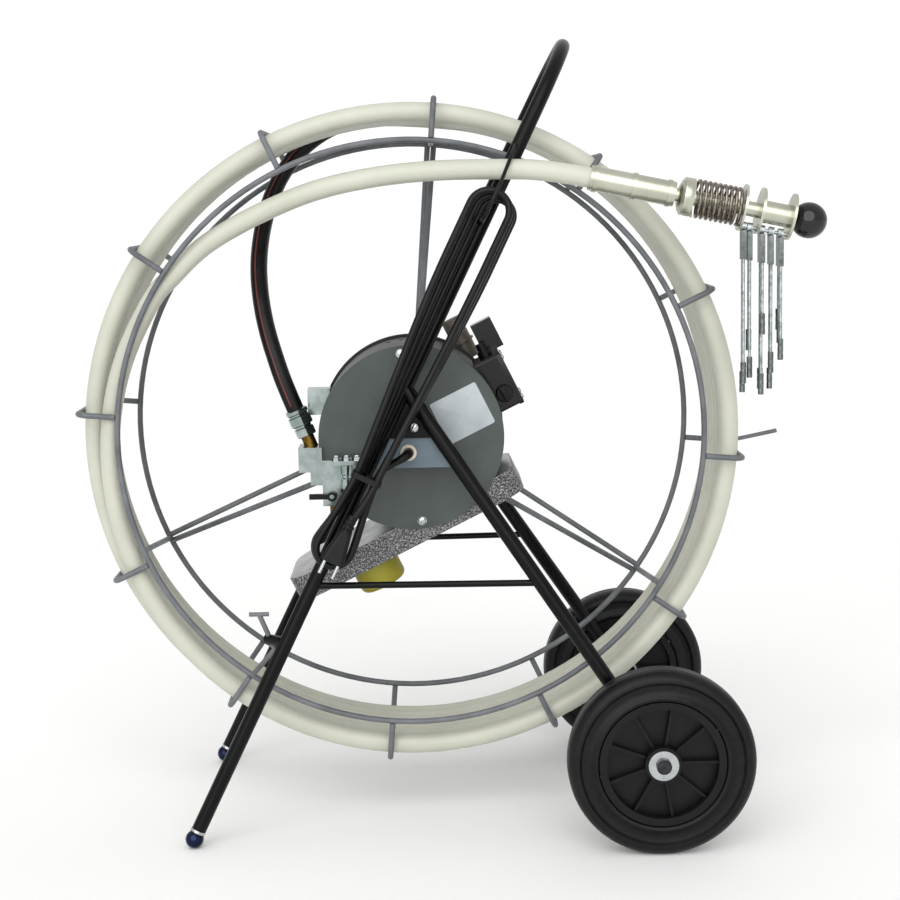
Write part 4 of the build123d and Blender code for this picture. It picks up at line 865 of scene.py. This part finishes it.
def make_small_pieces():
    """Small pieces on the drum, the casting, the switch box, the head and the near plate."""
    label_middle = tilted(*LABEL_PLACE, DRUM_FRONT - LABEL_SIZE[2] / 2)
    label = rounded_plate(
        "bare_label", label_middle, tilt_right, tilt_up, LABEL_SIZE, LABEL_CORNER, LABEL_EDGE,
    )
    finished(label, label_film, "reel", "drum_grey")
    casting_middle = tilted(CASTING_MIDDLE[0], CASTING_TOP, CASTING_MIDDLE[1])
    top = rounded_plate(
        "milled_top", casting_middle, tilt_right, away, CASTING_SIZE, CASTING_CORNER, CASTING_EDGE,
    )
    finished(top, milled, "reel", "hammertone")
    lid_middle = tilted(*LID_MIDDLE)
    lid = rounded_plate("chamfered_lid", lid_middle, away, tilt_up, LID_SIZE, LID_CORNER, LID_CHAMFER)
    finished(lid, box_plastic, "reel", "box_grey", "switch_lid")
    for number, (rise, y) in enumerate(LID_SCREWS, start=1):
        seat = tilted(LID_FACE, rise, y)
        screw = turned_piece(f"lid_screw_{number}", LID_SCREW_SHAPE, seat, tilt_right, SMALL_STEPS)
        finished(screw, chrome, "reel", "zinc")
    bar = rounded_plate(
        "knob_bar", tilted(*KNOB_PLACE), tilt_right, tilt_up, KNOB_BAR, KNOB_BAR_CORNER, KNOB_BAR_EDGE,
    )
    finished(bar, moulding, "switch_knob", "black_plastic")
    # Black plates on the drum's wall: painted shade where its slots are dark inside
    for number, angle in enumerate(DRUM_SLOTS, start=1):
        middle = around(DRUM_RADIUS, angle, SLOT_SIDE)
        outward = (around(DRUM_RADIUS, angle, 0) - HUB).normalized()
        round_wall = away.cross(outward)
        slot = rounded_plate(
            f"slot_shade_plate_{number}", middle, round_wall, away, SLOT_SIZE, SLOT_CORNER, SLOT_EDGE,
        )
        finished(slot, moulding, "reel", "drum_grey")
    collar = turned_piece("domed_collar", COLLAR_SHAPE, sleeve_start, head_forward)
    finished(collar, steel, "head", "head_steel")
    ring = turned_piece("grommet_ring", GROMMET_SHAPE, grommet_front, -away, BOLT_STEPS)
    finished(ring, cream_nylon, "frame", "cream")


def make_domed_fasteners():
    """The screws on the drum's face, the flange's bolts and the bolts on the corner plates."""
    screws = []
    for number, angle in enumerate(COVER_SCREW_ANGLES, start=1):
        seat = around(COVER_SCREW_RADIUS, angle, DRUM_FRONT)
        screws.append(turned_piece(f"domed_screw_{number}", COVER_SCREW_SHAPE, seat, -away, BOLT_STEPS))
    flange_bolts = []
    for number, spot in enumerate(FLANGE_BOLTS, start=1):
        seat = place(*spot)
        flange_bolts.append(turned_piece(f"flange_bolt_{number}", FLANGE_BOLT_SHAPE, seat, up, HEXAGON))
    plate_bolts = []
    low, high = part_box("plate_bolts")
    for side, front, way in (("near", low.y, -away), ("far", high.y, away)):
        seat = (low + high) / 2
        seat.y = front
        seat -= way * PLATE_BOLT_HEIGHT * MILLIMETRE
        plate_bolts.append(turned_piece(f"domed_bolt_{side}", PLATE_BOLT_SHAPE, seat, way, BOLT_STEPS))
    for node, body, pieces in (
        ("cover_screws", "reel", screws),
        ("flange_bolts", "reel", flange_bolts),
        ("plate_bolts", "frame", plate_bolts),
    ):
        finished(pieces[0], chrome, body, "zinc", node)
        for piece in pieces[1:]:
            finished(piece, chrome, body, "zinc")


def make_valve_fittings():
    """The chamfered hexagons of the coupling that holds the feed hose, and the valve's turned barrel."""
    foot = nut_top - fitting_up * NUT_HEIGHT * MILLIMETRE
    nut = turned_piece("chamfered_hose_nut", NUT_SHAPE, foot, fitting_up, HEXAGON)
    finished(nut, zinc, "reel", "zinc", "hose_nut")
    barrel = turned_piece("valve_barrel", BARREL_SHAPE, place(*BARREL_TOP), -up)
    finished(barrel, zinc, "reel", "zinc")


def make_flail_crimps():
    """Crimped sleeves under the flails' eyes and ferrules on the ends of their wires."""
    for flail, lengths in enumerate(FLAIL_WIRES, start=1):
        pivot = joint_places[f"flail_{flail}_swing"]
        size = (FLAIL_SPACING * len(lengths) + CRIMP_MARGIN, CRIMP_HEIGHT, CRIMP_THICKNESS)
        middle = pivot - up * CRIMP_DROP * MILLIMETRE
        sleeve = rounded_plate(f"flail_{flail}_sleeve", middle, away, up, size, CRIMP_CORNER, CRIMP_EDGE)
        finished(sleeve, ferrule_zinc, f"flail_{flail}", "galvanised")
        for wire, length in enumerate(lengths):
            side = FLAIL_SPACING * (wire - (len(lengths) - 1) / 2)
            end = pivot + (away * side - up * length) * MILLIMETRE
            tip = turned_piece(f"flail_{flail}_tip_{wire + 1}", FERRULE_SHAPE, end, up, SMALL_STEPS)
            finished(tip, ferrule_zinc, f"flail_{flail}", "galvanised")


def make_foot_collars():
    """Bright collars between the tubes and their ball feet."""
    for side, sign in (("near", -1), ("far", 1)):
        foot = place(-FOOT_REACH, sign * FOOT_SPREAD / 2, FOOT_LEVEL)
        run = place(BOW_REACH, sign * BOW_SPREAD / 2, BOW_RISE) - foot
        collar = turned_piece(f"foot_collar_{side}", FOOT_COLLAR_SHAPE, foot, run.normalized(), COLLAR_STEPS)
        finished(collar, chrome, "frame", "zinc")


def paint(material, *names):
    """Gives CAD nodes one material."""
    for name in names:
        coat(nodes[name], material)


make_camera()
make_drain_hose()
make_feed_hose()
make_mains_cable()
make_strap()
make_stage()
make_tyres()
make_small_pieces()
make_domed_fasteners()
make_valve_fittings()
make_flail_crimps()
make_foot_collars()

paint(enamel, "main_tube_near", "main_tube_far", "handle_bow", "tie_bars", "gussets")
paint(enamel, "rear_leg_near", "rear_leg_far")
paint(plate_paint, "axle_plates")
paint(zinc, "stub_axles", "valve_body", "clamp_block", "back_plate")
paint(chrome, "plug_pins", "wheel_washers")
# The axle's dark colour is painted shade for the hole at its end
paint(axle_painted_shade_steel, "wheel_axle")
paint(rope, "flail_1", "flail_2", "flail_3", "flail_4", "flail_5", "flail_pins")
paint(spring_wire, "head_spring")
paint(steel, "head_spindle", "hose_sleeve")
paint(cage_paint, "ring_near", "ring_far", "hoops", "cross_bars", "spokes", "lock_hook")
paint(drum_paint, "cover_drum")
paint(hammertone, "motor_base")
paint(motor_green, "motor")
paint(yellow, "yellow_cap")
paint(can_plastic, "capacitor")
paint(box_plastic, "switch_box")
paint(moulding, "switch_knob", "valve_lever", "cable_gland", "cable_tie", "plug_body")
paint(moulding, "wheel_disc_near", "wheel_disc_far")
paint(ball_gloss, "head_ball")
# The ball feet's dark blue is a painted reflection of dark ground and blue sky
paint(steel_painted_sky_reflection, "ball_feet")
paint(brass, "brass_fittings")
paint(cream_nylon, "cable_grommet")
